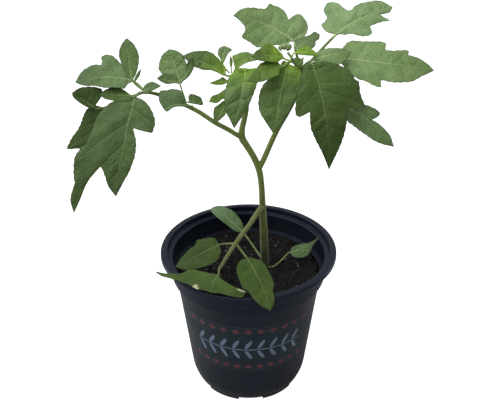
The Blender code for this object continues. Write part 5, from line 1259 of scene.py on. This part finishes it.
def sideVeins(margin, length):
    # starts of the side veins: one to each lobe, and others between them at an even distance
    peaks = []
    for i in range(2, len(margin) - 2):
        if margin[i, 2] >= margin[i - 1, 2] and margin[i, 2] > margin[i + 1, 2] and margin[i, 0] < 0.85:
            peaks.append(margin[i, 0])
    gap = np.clip(bladeShape["veinGap"] / length, 0.1, 0.3)
    veins = list(peaks)
    for start in np.arange(0.04, 0.9, gap):
        if all(abs(start - vein) > 0.62 * gap for vein in veins):
            veins.append(start)
    return np.array(sorted(veins))


def shakenField(points, scale, seed):
    shift = Vector((seed * 7.3, seed * 3.1, seed * 1.7))
    return np.array([noise.noise(Vector(p) * scale + shift) for p in points.reshape(-1, 3)]
                    ).reshape(points.shape[:-1])


def shortStalk(leaf, base, ahead):
    # the leaflet's own short stalk: a bent line from the parent stalk to the blade
    start, sag = np.array(leaf["stalk"], float), np.array(leaf.get("sag", (0, 0, 0)), float)
    reach = base - start
    size = np.linalg.norm(reach)
    first = reach + 2.0 * sag
    last = (reach * 0.55 / size + ahead * 0.45) * size
    count = max(3, int(round(size / bladeShape["stalkStep"])))
    t = np.linspace(0, 1, count + 1)[:, None]
    line = ((2 * t ** 3 - 3 * t ** 2 + 1) * start + (t ** 3 - 2 * t ** 2 + t) * first
            + (3 * t ** 2 - 2 * t ** 3) * base + (t ** 3 - t ** 2) * last)
    return line + 4 * t * (1 - t) * sag


def veinPhase(rows, veins):
    # counts up by one from each side vein to the next
    beyond = 0.12
    phase = np.interp(rows, veins, np.arange(len(veins)), left=-0.5, right=len(veins) - 0.5)
    before, after = rows < veins[0], rows > veins[-1]
    phase[before] = -(veins[0] - rows[before]) / beyond
    phase[after] = len(veins) - 1 + (rows[after] - veins[-1]) / beyond
    return phase


def spreadSide(leaf, blade, side):
    # one half of the blade as a grid, from the rib out to its margin
    rows, share, length, seed = blade["rows"], blade["share"], blade["length"], blade["seed"]
    margin = blade["margins"][side]
    toAlong = np.interp(rows, margin[:, 0], margin[:, 1])
    toOut = np.interp(rows, margin[:, 0], margin[:, 2])
    toOut = np.where(rows <= -blade["neck"] + 1e-9, blade["radius"], toOut)
    along = rows[:, None] + (toAlong - rows)[:, None] * share
    # small uneven teeth, on the very edge alone
    path = np.cumsum(np.hypot(np.gradient(toAlong * length), np.gradient(toOut)))
    teeth = (0.6 * np.sin(1.7 * path + seed) + 0.4 * np.sin(3.7 * path + 2.3 * seed)) * bladeShape["teeth"]
    teeth *= np.clip((toOut - 2.0) / 6.0, 0, 1)
    out = toOut[:, None] * share + teeth[:, None] * share ** 9
    spot, up = bladePoint(leaf, along, out, side)
    phase = veinPhase(rows, sideVeins(margin, length))
    ahead, outward = np.gradient(spot, axis=0), np.gradient(spot, share, axis=1)
    outward /= np.linalg.norm(outward, axis=-1, keepdims=True)
    clear = ahead - outward * (ahead * outward).sum(-1, keepdims=True)
    pitch = np.linalg.norm(clear, axis=-1) / np.maximum(np.abs(np.gradient(phase)), 1e-4)[:, None]
    toEdge = np.hypot((toAlong - rows) * length, toOut)[:, None] * (1 - share)
    return along, out, spot, up, phase, np.clip(pitch, 0.5, 14), toEdge, toOut


def thickenSide(leaf, blade, side):
    # the upper and the under skin of one half, and what its shading reads
    s, share, seed = bladeShape, blade["share"], blade["seed"]
    widest, radius = blade["widest"], blade["radius"]
    along, out, spot, up, phase, pitch, toEdge, toOut = spreadSide(leaf, blade, side)
    fade = np.clip(toEdge / 3.0, 0, 1)
    grown = np.clip((toOut - 1.2) / 4.0, 0, 1)[:, None]
    offset = np.abs((phase + 0.5) % 1 - 0.5)[:, None] * pitch
    groove = np.exp(-(offset / 0.55) ** 2) * fade
    uneven = 1 + 0.45 * np.sin(2.4 * np.floor(phase) + 1.7 * seed + side)
    bulge = (np.abs(np.sin(math.pi * phase)) ** 0.9 * uneven)[:, None] * np.clip(pitch / 7, 0.3, 1.3)
    bulge = bulge * np.sin(math.pi * share ** 0.8) * np.clip(widest / 9, 0.25, 1)
    pucker = shakenField(spot, 0.32, seed) + 0.6 * shakenField(spot, 0.75, seed + 3)
    swell = shakenField(spot, 0.11, seed + 9) * np.sin(math.pi * share ** 0.7)
    wave = shakenField(spot, 0.13, seed + 5) * share ** 2
    relief = grown * leaf.get("ripple", 1.0) * (
        s["quilt"] * bulge - s["veinDepth"] * groove + s["pucker"] * pucker * fade
        + (s["edgeWave"] * wave + s["swell"] * swell) * np.clip(widest / 10, 0.2, 1.2))
    rounded = (1 - grown) * np.sqrt(np.clip(1 - share ** 2, 0, 1)) * radius
    thin = s["edgeThickness"] + (s["thickness"] - s["edgeThickness"]) * np.clip(toEdge / 2.5, 0, 1)
    ribRadius = (radius * (1 - 0.72 * np.clip(blade["rows"], 0, 1)))[:, None]
    nearRib = np.exp(-(out / (ribRadius * 0.95)) ** 2)
    above = grown * (thin / 2 + 0.10 * nearRib) + rounded
    below = grown * (thin / 2 + s["ribDepth"] * ribRadius / radius * blade["slim"] * nearRib
                     + 0.10 * groove) + rounded
    run = np.dstack([phase[:, None] + 0 * out, pitch + 0 * out, out])
    spots = np.dstack([along * blade["length"], side * out, toEdge])
    return spot + up * (relief + above)[..., None], spot + up * (relief - below)[..., None], run, spots


def stalkRings(leaf, blade):
    # the short stalk as rings that fit the blade's first ring
    neck = np.array([-blade["neck"]])
    _, left, ahead = (vector[0] for vector in bladeFrame(leaf, neck))
    line = shortStalk(leaf, chainPoint(leaf["midrib"], neck[0]), ahead)
    directions = np.gradient(line, axis=0)
    directions /= np.linalg.norm(directions, axis=1, keepdims=True)
    columns = np.concatenate([blade["share"][::-1], -blade["share"][1:]])
    high = np.sqrt(np.clip(1 - columns ** 2, 0, 1))
    rings = []
    for i in range(len(line) - 2, -1, -1):
        left = left - directions[i] * (left @ directions[i])
        left /= np.linalg.norm(left)
        upward = np.cross(directions[i], left)
        thick = blade["radius"] * (1.0 + 0.25 * (1 - i / (len(line) - 1)) ** 2)
        ring = [line[i] + left * c * thick + upward * h * thick for c, h in zip(columns, high)]
        ring += [line[i] + left * c * thick - upward * h * thick for c, h in zip(columns[::-1], high[::-1])]
        rings.insert(0, ring)
    return np.array(rings)


def bladeFaces(count, around):
    # the wall between the rings, and a row of faces that closes each end
    faces, end = [], (count - 1) * around
    for i in range(count - 1):
        for j in range(around):
            k = (j + 1) % around
            faces.append((i * around + j, (i + 1) * around + j, (i + 1) * around + k, i * around + k))
    for j in range(around // 2 - 1):
        a, b = j, around - 1 - j
        faces.append((a, a + 1, b - 1, b))
        faces.append((end + a + 1, end + a, end + b, end + b - 1))
    return faces


def markBlade(mesh, leaf, length, run, spots):
    # vein pattern, place on the blade, age, and a tone that holds painted light and shade as well as age,
    # for the leaf's shading
    grid = spots.shape[:2]
    under, dry = np.zeros(grid), np.zeros(grid)
    under[:, grid[1] // 2:] = 1.0
    yellow, fadeOut = leaf.get("yellowBase", (0.0, 12.0))
    young = leaf.get("young", 0.0) + yellow * np.clip(1 - spots[:, :, 0] / fadeOut, 0, 1)
    for along, out, reach in leaf.get("dry", ()):
        far = np.hypot(spots[:, :, 0] - along * length, spots[:, :, 1] - out)
        dry = np.maximum(dry, np.clip(1.4 - far / reach, 0, 1))
    share = np.clip(spots[:, :, 0] / length, 0, 1)
    toneBase, toneTip = (leafToneAndShade[shade] for shade in leaf["tone"])
    tone = toneBase + (toneTip - toneBase) * share
    specks = np.full(grid, leaf.get("specks", 0.0))
    storeAttribute(mesh, "bladeBloom", np.full(grid, leaf.get("bloom", 0.0)).ravel())
    marks = {"veinRun": run, "bladeSpot": spots, "bladeAge": np.dstack([young, dry, under]),
             "bladeToneAndShade": np.dstack([tone, share, specks])}
    for name, values in marks.items():
        storeAttribute(mesh, name, values.reshape(-1, 3))


def makeBlade(name, leaf, seed):
    s = bladeShape
    dense = chainPoint(leaf["midrib"], np.linspace(0, 1, s["ribSamples"]))
    length = np.linalg.norm(np.diff(dense, axis=0), axis=1).sum()
    slim = float(np.clip(0.45 + length / 60.0, 0.5, 1.15))      # small leaflets have thin stalks
    neck = s["neck"] / length
    rows, margins = pickRows(leaf, length, neck)
    widest = max(margin[:, 2].max() for margin in margins.values())
    half = int(np.clip(round(widest * 0.62) + 4, 5, s["columns"]))
    blade = {"length": length, "slim": slim, "neck": neck, "rows": rows, "margins": margins, "seed": seed,
             "widest": widest, "radius": s["stalkRadius"] * slim,
             "share": (np.arange(half + 1) / half) ** s["crowding"]}
    # one ring round each cross-section: over the top from left to right, back underneath
    halves = [thickenSide(leaf, blade, side) for side in (1, -1)]
    top, bottom, run, spots = (np.concatenate([left[:, ::-1], right[:, 1:]], axis=1)
                               for left, right in zip(*halves))
    rings = np.concatenate([top, bottom[:, ::-1]], axis=1)
    run, spots = (np.concatenate([values, values[:, ::-1]], axis=1) for values in (run, spots))
    stalk = stalkRings(leaf, blade)
    plain = len(stalk)
    run, spots = (np.concatenate([np.repeat(values[:1], plain, axis=0), values]) for values in (run, spots))
    run[:plain, :, 0], run[:plain, :, 2], spots[:plain, :, 2] = 0.5, 0.0, 1.0
    spots[:plain, :, 0] = -np.linspace(plain, 1, plain)[:, None] * s["stalkStep"]
    rings = np.concatenate([stalk, rings])
    mesh = standMesh(name, rings.reshape(-1, 3), bladeFaces(*rings.shape[:2]))
    markBlade(mesh, leaf, length, run, spots)
    return closedOutwards(mesh)


def leafSkin():
    material, tree, shader = startMaterial(
        "leafSkin", specularIORLevel=0.24, sheenWeight=0.08, sheenRoughness=0.45,
        sheenTint=linear(205, 220, 190))
    where = objectPlace(tree)
    spot = readAttribute(tree, "bladeSpot", "Vector")
    net = useGroup(tree, veinNet, Run=readAttribute(tree, "veinRun", "Vector"), Spot=spot)
    age = parts(tree, readAttribute(tree, "bladeAge", "Vector"))
    young, dry, under = age["X"], age["Y"], age["Z"]
    own = parts(tree, readAttribute(tree, "bladeToneAndShade", "Vector"))
    tone, share = own["X"], own["Y"]
    broad = mottled(tree, where, 85.0)
    fine = mottled(tree, where, 420.0)
    grain = useGroup(tree, fineGrain, Place=where, Scale=2600.0)
    colour = blendColour(tree, broad, linear(66, 90, 42), linear(86, 110, 58))
    colour = glaze(tree, colour, fine, 0.3, (100, 124, 74))
    colour = glaze(tree, colour, net["Cells"], 0.16, (58, 82, 36))
    colour = glaze(tree, colour, under, 0.5, (120, 138, 100))
    colour = glaze(tree, colour, net["Net"], 0.07, (122, 142, 88))
    veins = times(tree, net["Veins"], stretch(tree, share, 0.1, 1.0, 0.34, 0.14))
    rib = times(tree, net["Rib"], stretch(tree, share, 0.0, 0.9, 0.62, 0.14))
    # painted shade: a thin dark line along every margin
    colour = glaze(tree, colour, net["Edge"], 0.75, (34, 48, 28))
    # the tone multiplies the colour: painted light and shade along with the leaflet's age; a darker leaflet
    # is also a deeper green, and bloom makes it cooler
    cool = sums(tree, "MULTIPLY_ADD", readAttribute(tree, "bladeBloom"), 0.3, 1.0)
    depth = combine(tree, sums(tree, "POWER", tone, 1.15), tone,
                    times(tree, sums(tree, "POWER", tone, 1.6), cool))
    colour = blendColour(tree, 1.0, colour, depth, "MULTIPLY")
    # the veins stay pale even on a dark leaflet
    lift = sums(tree, "MULTIPLY_ADD", tone, 0.66, 0.34)
    pale = combine(tree, lift, lift, lift)
    colour = blendColour(tree, veins, colour,
                         blendColour(tree, 1.0, linear(128, 150, 92), pale, "MULTIPLY"))
    colour = blendColour(tree, rib, colour, blendColour(tree, 1.0, linear(144, 164, 106), pale, "MULTIPLY"))
    fresh = blendColour(tree, broad, linear(98, 136, 24), linear(122, 154, 38))
    fresh = blendColour(tree, sums(tree, "MAXIMUM", veins, rib), fresh, linear(152, 174, 84))
    colour = blendColour(tree, young, colour, fresh)
    dots = place(tree, "ShaderNodeTexVoronoi", {"Vector": where, "Scale": 520.0}).outputs["Distance"]
    dotted = times(tree, stretch(tree, dots, 0.28, 0.16), own["Z"])
    dotted = times(tree, dotted, stretch(tree, fine, 0.45, 0.6))
    colour = blendColour(tree, dotted, colour, linear(196, 206, 176))
    patchy = sums(tree, "MULTIPLY", dry, stretch(tree, grain["Height"], 0.4, 0.6, 0.3, 1.2), clamp=True)
    colour = blendColour(tree, stretch(tree, patchy, 0.25, 0.8), colour, linear(196, 192, 158))
    rough = stretch(tree, grain["Mask"], 0.0, 1.0, 0.5, 0.68)
    tall = sums(tree, "ADD", times(tree, net["Cells"], 0.6), times(tree, grain["Height"], 0.35))
    tall = sums(tree, "SUBTRACT", tall, times(tree, net["Veins"], 0.6))
    finishSkin(tree, shader, colour, rough, tall, 0.6, 0.0003)
    return material


def makeLeaflets():
    skin = leafSkin()
    leaflets = {}
    for seed, (name, leaf) in enumerate(leafletTable.items()):
        leaflets[name] = addPiece(name, makeBlade(name, leaf, seed + 1), [skin], sharp=52)
    return leaflets


# Young tip: tight curled leaf points round one middle.
budShape = {"centre": (21.3, -8.4, 242), "reach": 4.3, "points": 13, "thickness": 0.8,
            "stalk": [(26.5, -11, 234), (24.4, -10.4, 236.6), (22.4, -9, 239)], "stalkRadius": 0.75}


def tubeFaces(first, steps, around):
    # the wall and both ends of a tube of rings, whose points start at first
    spot = lambda j, k: first + j * around + k % around
    faces = [(spot(j, k), spot(j, k + 1), spot(j + 1, k + 1), spot(j + 1, k))
             for j in range(steps) for k in range(around)]
    ends = [tuple(spot(j, k) for k in range(around)) for j in (0, steps)]
    return faces + [ends[0][::-1], ends[1]]


def makeBud():
    s = budShape
    points, faces, marks = [], [], []
    steps, around = 12, 12
    for i in range(s["points"]):
        # each young leaf starts near the middle, arches out and rolls in again at its tip
        ring = (i + 0.5) / s["points"]
        turn = 2.4 * i
        roll, start = s["reach"] * (0.24 + 0.14 * ring), s["reach"] * 0.62 * ring
        outward = np.array([math.cos(turn), 0.75 * math.sin(turn), 0])
        across = np.array([-math.sin(turn), math.cos(turn), 0])
        first = len(points)
        for j in range(steps + 1):
            t = j / steps
            angle = math.pi * t * (1.12 - 0.2 * ring)
            bend = outward * math.cos(angle) + np.array([0, 0, 1]) * math.sin(angle)
            centre = (np.array(s["centre"]) + outward * (start + roll * math.sin(angle))
                      + np.array([0, 0, roll * (1 - math.cos(angle)) - 0.5 * s["reach"] * ring]))
            swelling = 0.55 + 1.1 * math.sin(math.pi * min(t * 0.9 + 0.1, 1.0))
            width = s["thickness"] * swelling * (0.7 + 0.6 * ring)
            thin = np.cross(across, bend) * 0.3
            for k in range(around):
                turned = math.tau * k / around
                points.append(centre + across * math.cos(turned) * width + thin * math.sin(turned))
                marks.append((abs(math.cos(turned)), t, i))
        faces += tubeFaces(first, steps, around)
    stalk = smoothRoute([tuple(spot) + (s["stalkRadius"],) for spot in s["stalk"]], 5)
    ahead = np.gradient(stalk[:, :3], axis=0)
    first = len(points)
    for spot, direction in zip(stalk, ahead):
        side = np.cross(direction, (0, 1, 0.2))
        side /= np.linalg.norm(side)
        other = np.cross(side, direction / np.linalg.norm(direction))
        for k in range(around):
            angle = math.tau * k / around
            points.append(spot[:3] + (side * math.cos(angle) + other * math.sin(angle)) * spot[3])
            marks.append((0.4, 0.2, s["points"]))
    faces += tubeFaces(first, len(stalk) - 1, around)
    mesh = closedOutwards(standMesh("youngTip", points, faces))
    storeAttribute(mesh, "tipRun", marks)
    bud = addPiece("youngTip", mesh, [tipSkin()])
    smooth = bud.modifiers.new("soft", "SUBSURF")
    smooth.levels = smooth.render_levels = 1
    settle(bud)
    return bud


def tipSkin():
    material, tree, shader = startMaterial(
        "youngTipSkin", specularIORLevel=0.3, sheenWeight=0.6, sheenRoughness=0.4,
        sheenTint=linear(226, 232, 214))
    where = objectPlace(tree)
    run = parts(tree, readAttribute(tree, "tipRun", "Vector"))
    fine = mottled(tree, where, 500.0, 0.6)
    grain = useGroup(tree, fineGrain, Place=where, Scale=3200.0)
    # green in the middle of each young leaf, pale and woolly along its edges and at its tip
    colour = blendColour(tree, stretch(tree, run["X"], 0.5, 1.0), linear(98, 122, 58),
                         linear(148, 166, 116))
    colour = blendColour(tree, stretch(tree, run["Y"], 0.6, 1.0, 0.0, 0.6), colour, linear(150, 168, 120))
    colour = glaze(tree, colour, fine, 0.35, (160, 176, 132))
    finishSkin(tree, shader, colour, stretch(tree, grain["Mask"], 0.0, 1.0, 0.6, 0.8), grain["Height"],
               0.7, 0.0002)
    return material


# Printed band: a thin film on the front of the wall with rounded ends and a plain pattern.
bandShape = {
    "low": 30.0, "high": 72.0, "halfTurn": 64.0, "endRounding": 17.0, "film": 0.07, "lift": 0.03,
    "cells": 190, "rows": 48, "diamondGap": 8.0, "diamondRow": 16.4, "sprigGap": 8.4, "sprigReach": 38.0,
}


def makeBand():
    s = bandShape
    middle = 0.5 * (s["low"] + s["high"])
    halfHeight = 0.5 * (s["high"] - s["low"])
    radius = wallRadius(middle)
    halfWidth = math.radians(s["halfTurn"]) * radius
    points, spots = [], []
    for shell in (0, 1):
        for i in range(s["cells"] + 1):
            across = halfWidth * (2 * i / s["cells"] - 1)
            past = max(0.0, abs(across) - (halfWidth - s["endRounding"])) / s["endRounding"]
            reach = halfHeight * math.sqrt(max(0.0, 1 - past * past)) if past < 1 else 0.0
            reach = max(reach, 0.02)
            for j in range(s["rows"] + 1):
                up = reach * (2 * j / s["rows"] - 1)
                height = middle + up
                distance = wallRadius(height) + s["lift"] + s["film"] * shell
                angle = across / radius - math.pi / 2
                points.append((distance * math.cos(angle), distance * math.sin(angle), height))
                edge = min(reach - abs(up), halfWidth - abs(across))
                spots.append((across, up, edge))
    wide, size = s["rows"] + 1, (s["cells"] + 1) * (s["rows"] + 1)
    faces = []
    for i in range(s["cells"]):
        for j in range(s["rows"]):
            a = i * wide + j
            faces.append((size + a, size + a + wide, size + a + wide + 1, size + a + 1))
            faces.append((a, a + 1, a + wide + 1, a + wide))
    rim = [i * wide for i in range(s["cells"] + 1)]
    rim += [s["cells"] * wide + j for j in range(1, wide)]
    rim += [i * wide + wide - 1 for i in range(s["cells"] - 1, -1, -1)]
    rim += [j for j in range(wide - 2, 0, -1)]
    for a, b in zip(rim, rim[1:] + rim[:1]):
        faces.append((a, b, size + b, size + a))
    mesh = closedOutwards(standMesh("printedBand", points, faces))
    storeAttribute(mesh, "bandSpot", spots)
    return addPiece("printedBand", mesh, [bandPrint()], sharp=50)


def repeatEvery(tree, value, step):
    # the distance from the middle of the repeat that holds this place
    scaled = sums(tree, "DIVIDE", value, step)
    share = sums(tree, "FRACT", sums(tree, "ADD", scaled, 0.5))
    return times(tree, sums(tree, "SUBTRACT", share, 0.5), step)


def bandPrint():
    material, tree, shader = startMaterial(
        "bandPrint", specularIORLevel=0.35, specularTint=linear(196, 216, 255))
    where = objectPlace(tree)
    part = parts(tree, readAttribute(tree, "bandSpot", "Vector"))
    across, up, edge = part["X"], part["Y"], part["Z"]
    height = sums(tree, "ABSOLUTE", up)
    patches = mottled(tree, where, 60.0)
    speckle = useGroup(tree, fineGrain, Place=where, Scale=1800.0)
    scuffs = useGroup(tree, scuffing, Place=where, Amount=0.6)["Mask"]
    green = blendColour(tree, patches, linear(19, 30, 33), linear(26, 39, 41))
    # small diamonds in a row near each long edge
    apart = sums(tree, "ABSOLUTE", repeatEvery(tree, across, bandShape["diamondGap"]))
    off = sums(tree, "ABSOLUTE", sums(tree, "SUBTRACT", height, bandShape["diamondRow"]))
    shape = sums(tree, "ADD", sums(tree, "DIVIDE", apart, 2.9), sums(tree, "DIVIDE", off, 2.3))
    inside = stretch(tree, edge, 1.6, 1.9)
    diamonds = times(tree, stretch(tree, shape, 1.05, 0.92), inside)
    # paired leaves that branch from one stem line along the middle
    cell = repeatEvery(tree, across, bandShape["sprigGap"])
    line = stretch(tree, height, 0.5, 0.34)
    slant = sums(tree, "SUBTRACT", cell, sums(tree, "MULTIPLY_ADD", height, 0.5, -2.3))
    rise = sums(tree, "SUBTRACT", height, 4.6)
    leafShape = sums(tree, "ADD", sums(tree, "POWER", sums(tree, "DIVIDE", slant, 1.5), 2.0),
                     sums(tree, "POWER", sums(tree, "DIVIDE", rise, 3.9), 2.0))
    leaves = stretch(tree, leafShape, 1.05, 0.9)
    sprig = sums(tree, "MAXIMUM", leaves, line)
    ends = stretch(tree, sums(tree, "ABSOLUTE", across), bandShape["sprigReach"],
                   bandShape["sprigReach"] - 0.3)
    sprig = times(tree, sprig, ends)
    border = times(tree, stretch(tree, edge, 0.5, 0.65), stretch(tree, edge, 1.15, 1.0))
    worn = stretch(tree, speckle["Mask"], 0.0, 1.0, 0.72, 1.0)
    colour = blendColour(tree, times(tree, diamonds, worn), green, linear(98, 50, 52))
    colour = glaze(tree, colour, border, times(tree, worn, 0.7), (70, 44, 48))
    colour = glaze(tree, colour, sprig, worn, (112, 124, 146))
    colour = glaze(tree, colour, scuffs, 0.4, (70, 76, 84))
    finishSkin(tree, shader, colour, stretch(tree, patches, 0.0, 1.0, 0.4, 0.52), speckle["Height"], 0.2,
               0.00005)
    return material


# Studio: a pale floor, soft lights, and the camera above the front of the plant.
studio = {
    "camera": (0.001, -0.3623, 0.3375), "cameraTilt": 61.55, "lens": 45.0,
    "floorSize": 6.0, "floorDrop": 0.0004, "surroundLow": 0.18, "surroundHigh": 0.8, "floorGlow": 1.0,
}


def makeFloor():
    reach = studio["floorSize"] / 2
    low = -studio["floorDrop"]
    corners = [(-reach, -reach, low), (reach, -reach, low), (reach, reach, low), (-reach, reach, low)]
    mesh = bpy.data.meshes.new("studioFloor")
    mesh.from_pydata(corners, [], [(0, 1, 2, 3)])
    material, tree, shader = startMaterial("studioFloor", specularIORLevel=0.1)
    grain = clouds(tree, objectPlace(tree), 6.0)
    colour = blendColour(tree, grain, (0.34, 0.34, 0.34, 1), (0.38, 0.38, 0.38, 1))
    tree.links.new(colour, shader.inputs["Base Color"])
    shader.inputs["Roughness"].default_value = 0.9
    seen = tree.nodes.new("ShaderNodeLightPath").outputs["Is Camera Ray"]
    tree.links.new(times(tree, seen, studio["floorGlow"]), shader.inputs["Emission Strength"])
    shader.inputs["Emission Color"].default_value = (1, 1, 1, 1)
    return addPiece("studioFloor", mesh, [material])


def makeSurround():
    world = bpy.data.worlds.new("surround")
    bpy.context.scene.world = world
    world.use_nodes = True
    tree = world.node_tree
    background = tree.nodes["Background"]
    seen = tree.nodes.new("ShaderNodeLightPath").outputs["Is Camera Ray"]
    ahead = tree.nodes.new("ShaderNodeTexCoord").outputs["Generated"]
    up = parts(tree, ahead)["Z"]
    soft = stretch(tree, up, -0.2, 0.9, studio["surroundLow"], studio["surroundHigh"])
    strength = place(tree, "ShaderNodeMix", {0: seen, 2: soft, 3: 1.0}, data_type="FLOAT")
    background.inputs["Color"].default_value = (1, 1, 1, 1)
    tree.links.new(strength.outputs[0], background.inputs["Strength"])


studioLamps = {
    "keyLight": dict(at=(-0.38, -0.2, 0.78), towards=(0, 0, 0.18), size=(0.9, 0.75), power=5.4),
    "leftPanel": dict(at=(-0.75, 0.2, 0.2), towards=(0, 0, 0.05), size=(0.22, 0.6), power=2.4,
                      colour=(0.8, 0.89, 1.0)),
    "rightPanel": dict(at=(0.75, 0.32, 0.25), towards=(0, 0, 0.06), size=(0.2, 0.5), power=1.5,
                       colour=(0.76, 0.86, 1.0)),
}


def makeLamp(name, at, towards, size, power, colour=(1, 1, 1)):
    light = bpy.data.lights.new(name, "AREA")
    light.shape, light.size, light.size_y = "RECTANGLE", size[0], size[1]
    light.energy, light.color = power, colour
    lamp = bpy.data.objects.new(name, light)
    bpy.context.scene.collection.objects.link(lamp)
    lamp.location = at
    lamp.rotation_euler = (Vector(towards) - Vector(at)).to_track_quat("-Z", "Y").to_euler()
    return lamp


def makeCamera():
    lens = bpy.data.cameras.new("frontCamera")
    lens.lens, lens.sensor_width = studio["lens"], 36.0
    lens.clip_start, lens.clip_end = 0.01, 20.0
    camera = bpy.data.objects.new("frontCamera", lens)
    bpy.context.scene.collection.objects.link(camera)
    camera.location = studio["camera"]
    camera.rotation_euler = (math.radians(studio["cameraTilt"]), 0, 0)
    bpy.context.scene.camera = camera


def finishPiece(piece, slot, *nodes):
    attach(piece, "root")
    if nodes:
        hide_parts(*nodes)


makeCamera()
makeSurround()
for lampName, lamp in studioLamps.items():
    makeLamp(lampName, **lamp)
scene = bpy.context.scene
scene.view_settings.view_transform = "Standard"
scene.view_settings.look = "None"
makeFloor()
print("studio ready")

pot = makePot()
finishPiece(pot, "pot_plastic", "pot")
band = makeBand()
finishPiece(band, "pot_plastic")
print("pot and printed band ready")

compost = makeCompost()
finishPiece(compost, "compost", "soil")
for loose in makeLooseCompost(compost):
    finishPiece(loose, "compost")
print("compost ready")

stalks = makeStalks()
finishPiece(stalks, "stem_green", *[nodeName(name) for name in stemPaths])
area = sum(polygon.area for polygon in stalks.data.polygons)
down = scatterOver("stalkDown", stalks.data.copy(), downScatter(downSkin()), {
    "Count per Area": stalkShape["downCount"] / area, "Length": stalkShape["downLength"],
    "Width": stalkShape["downWidth"], "Seed": stalkShape["downSeed"]})
finishPiece(down, "stem_green")
print("stalks ready")

for name, leaflet in makeLeaflets().items():
    finishPiece(leaflet, "young_green" if name in youngLeaflets else "leaf_green", nodeName(name))
bud = makeBud()
finishPiece(bud, "young_green", "young_bud")
print("leaflets and young tip ready")
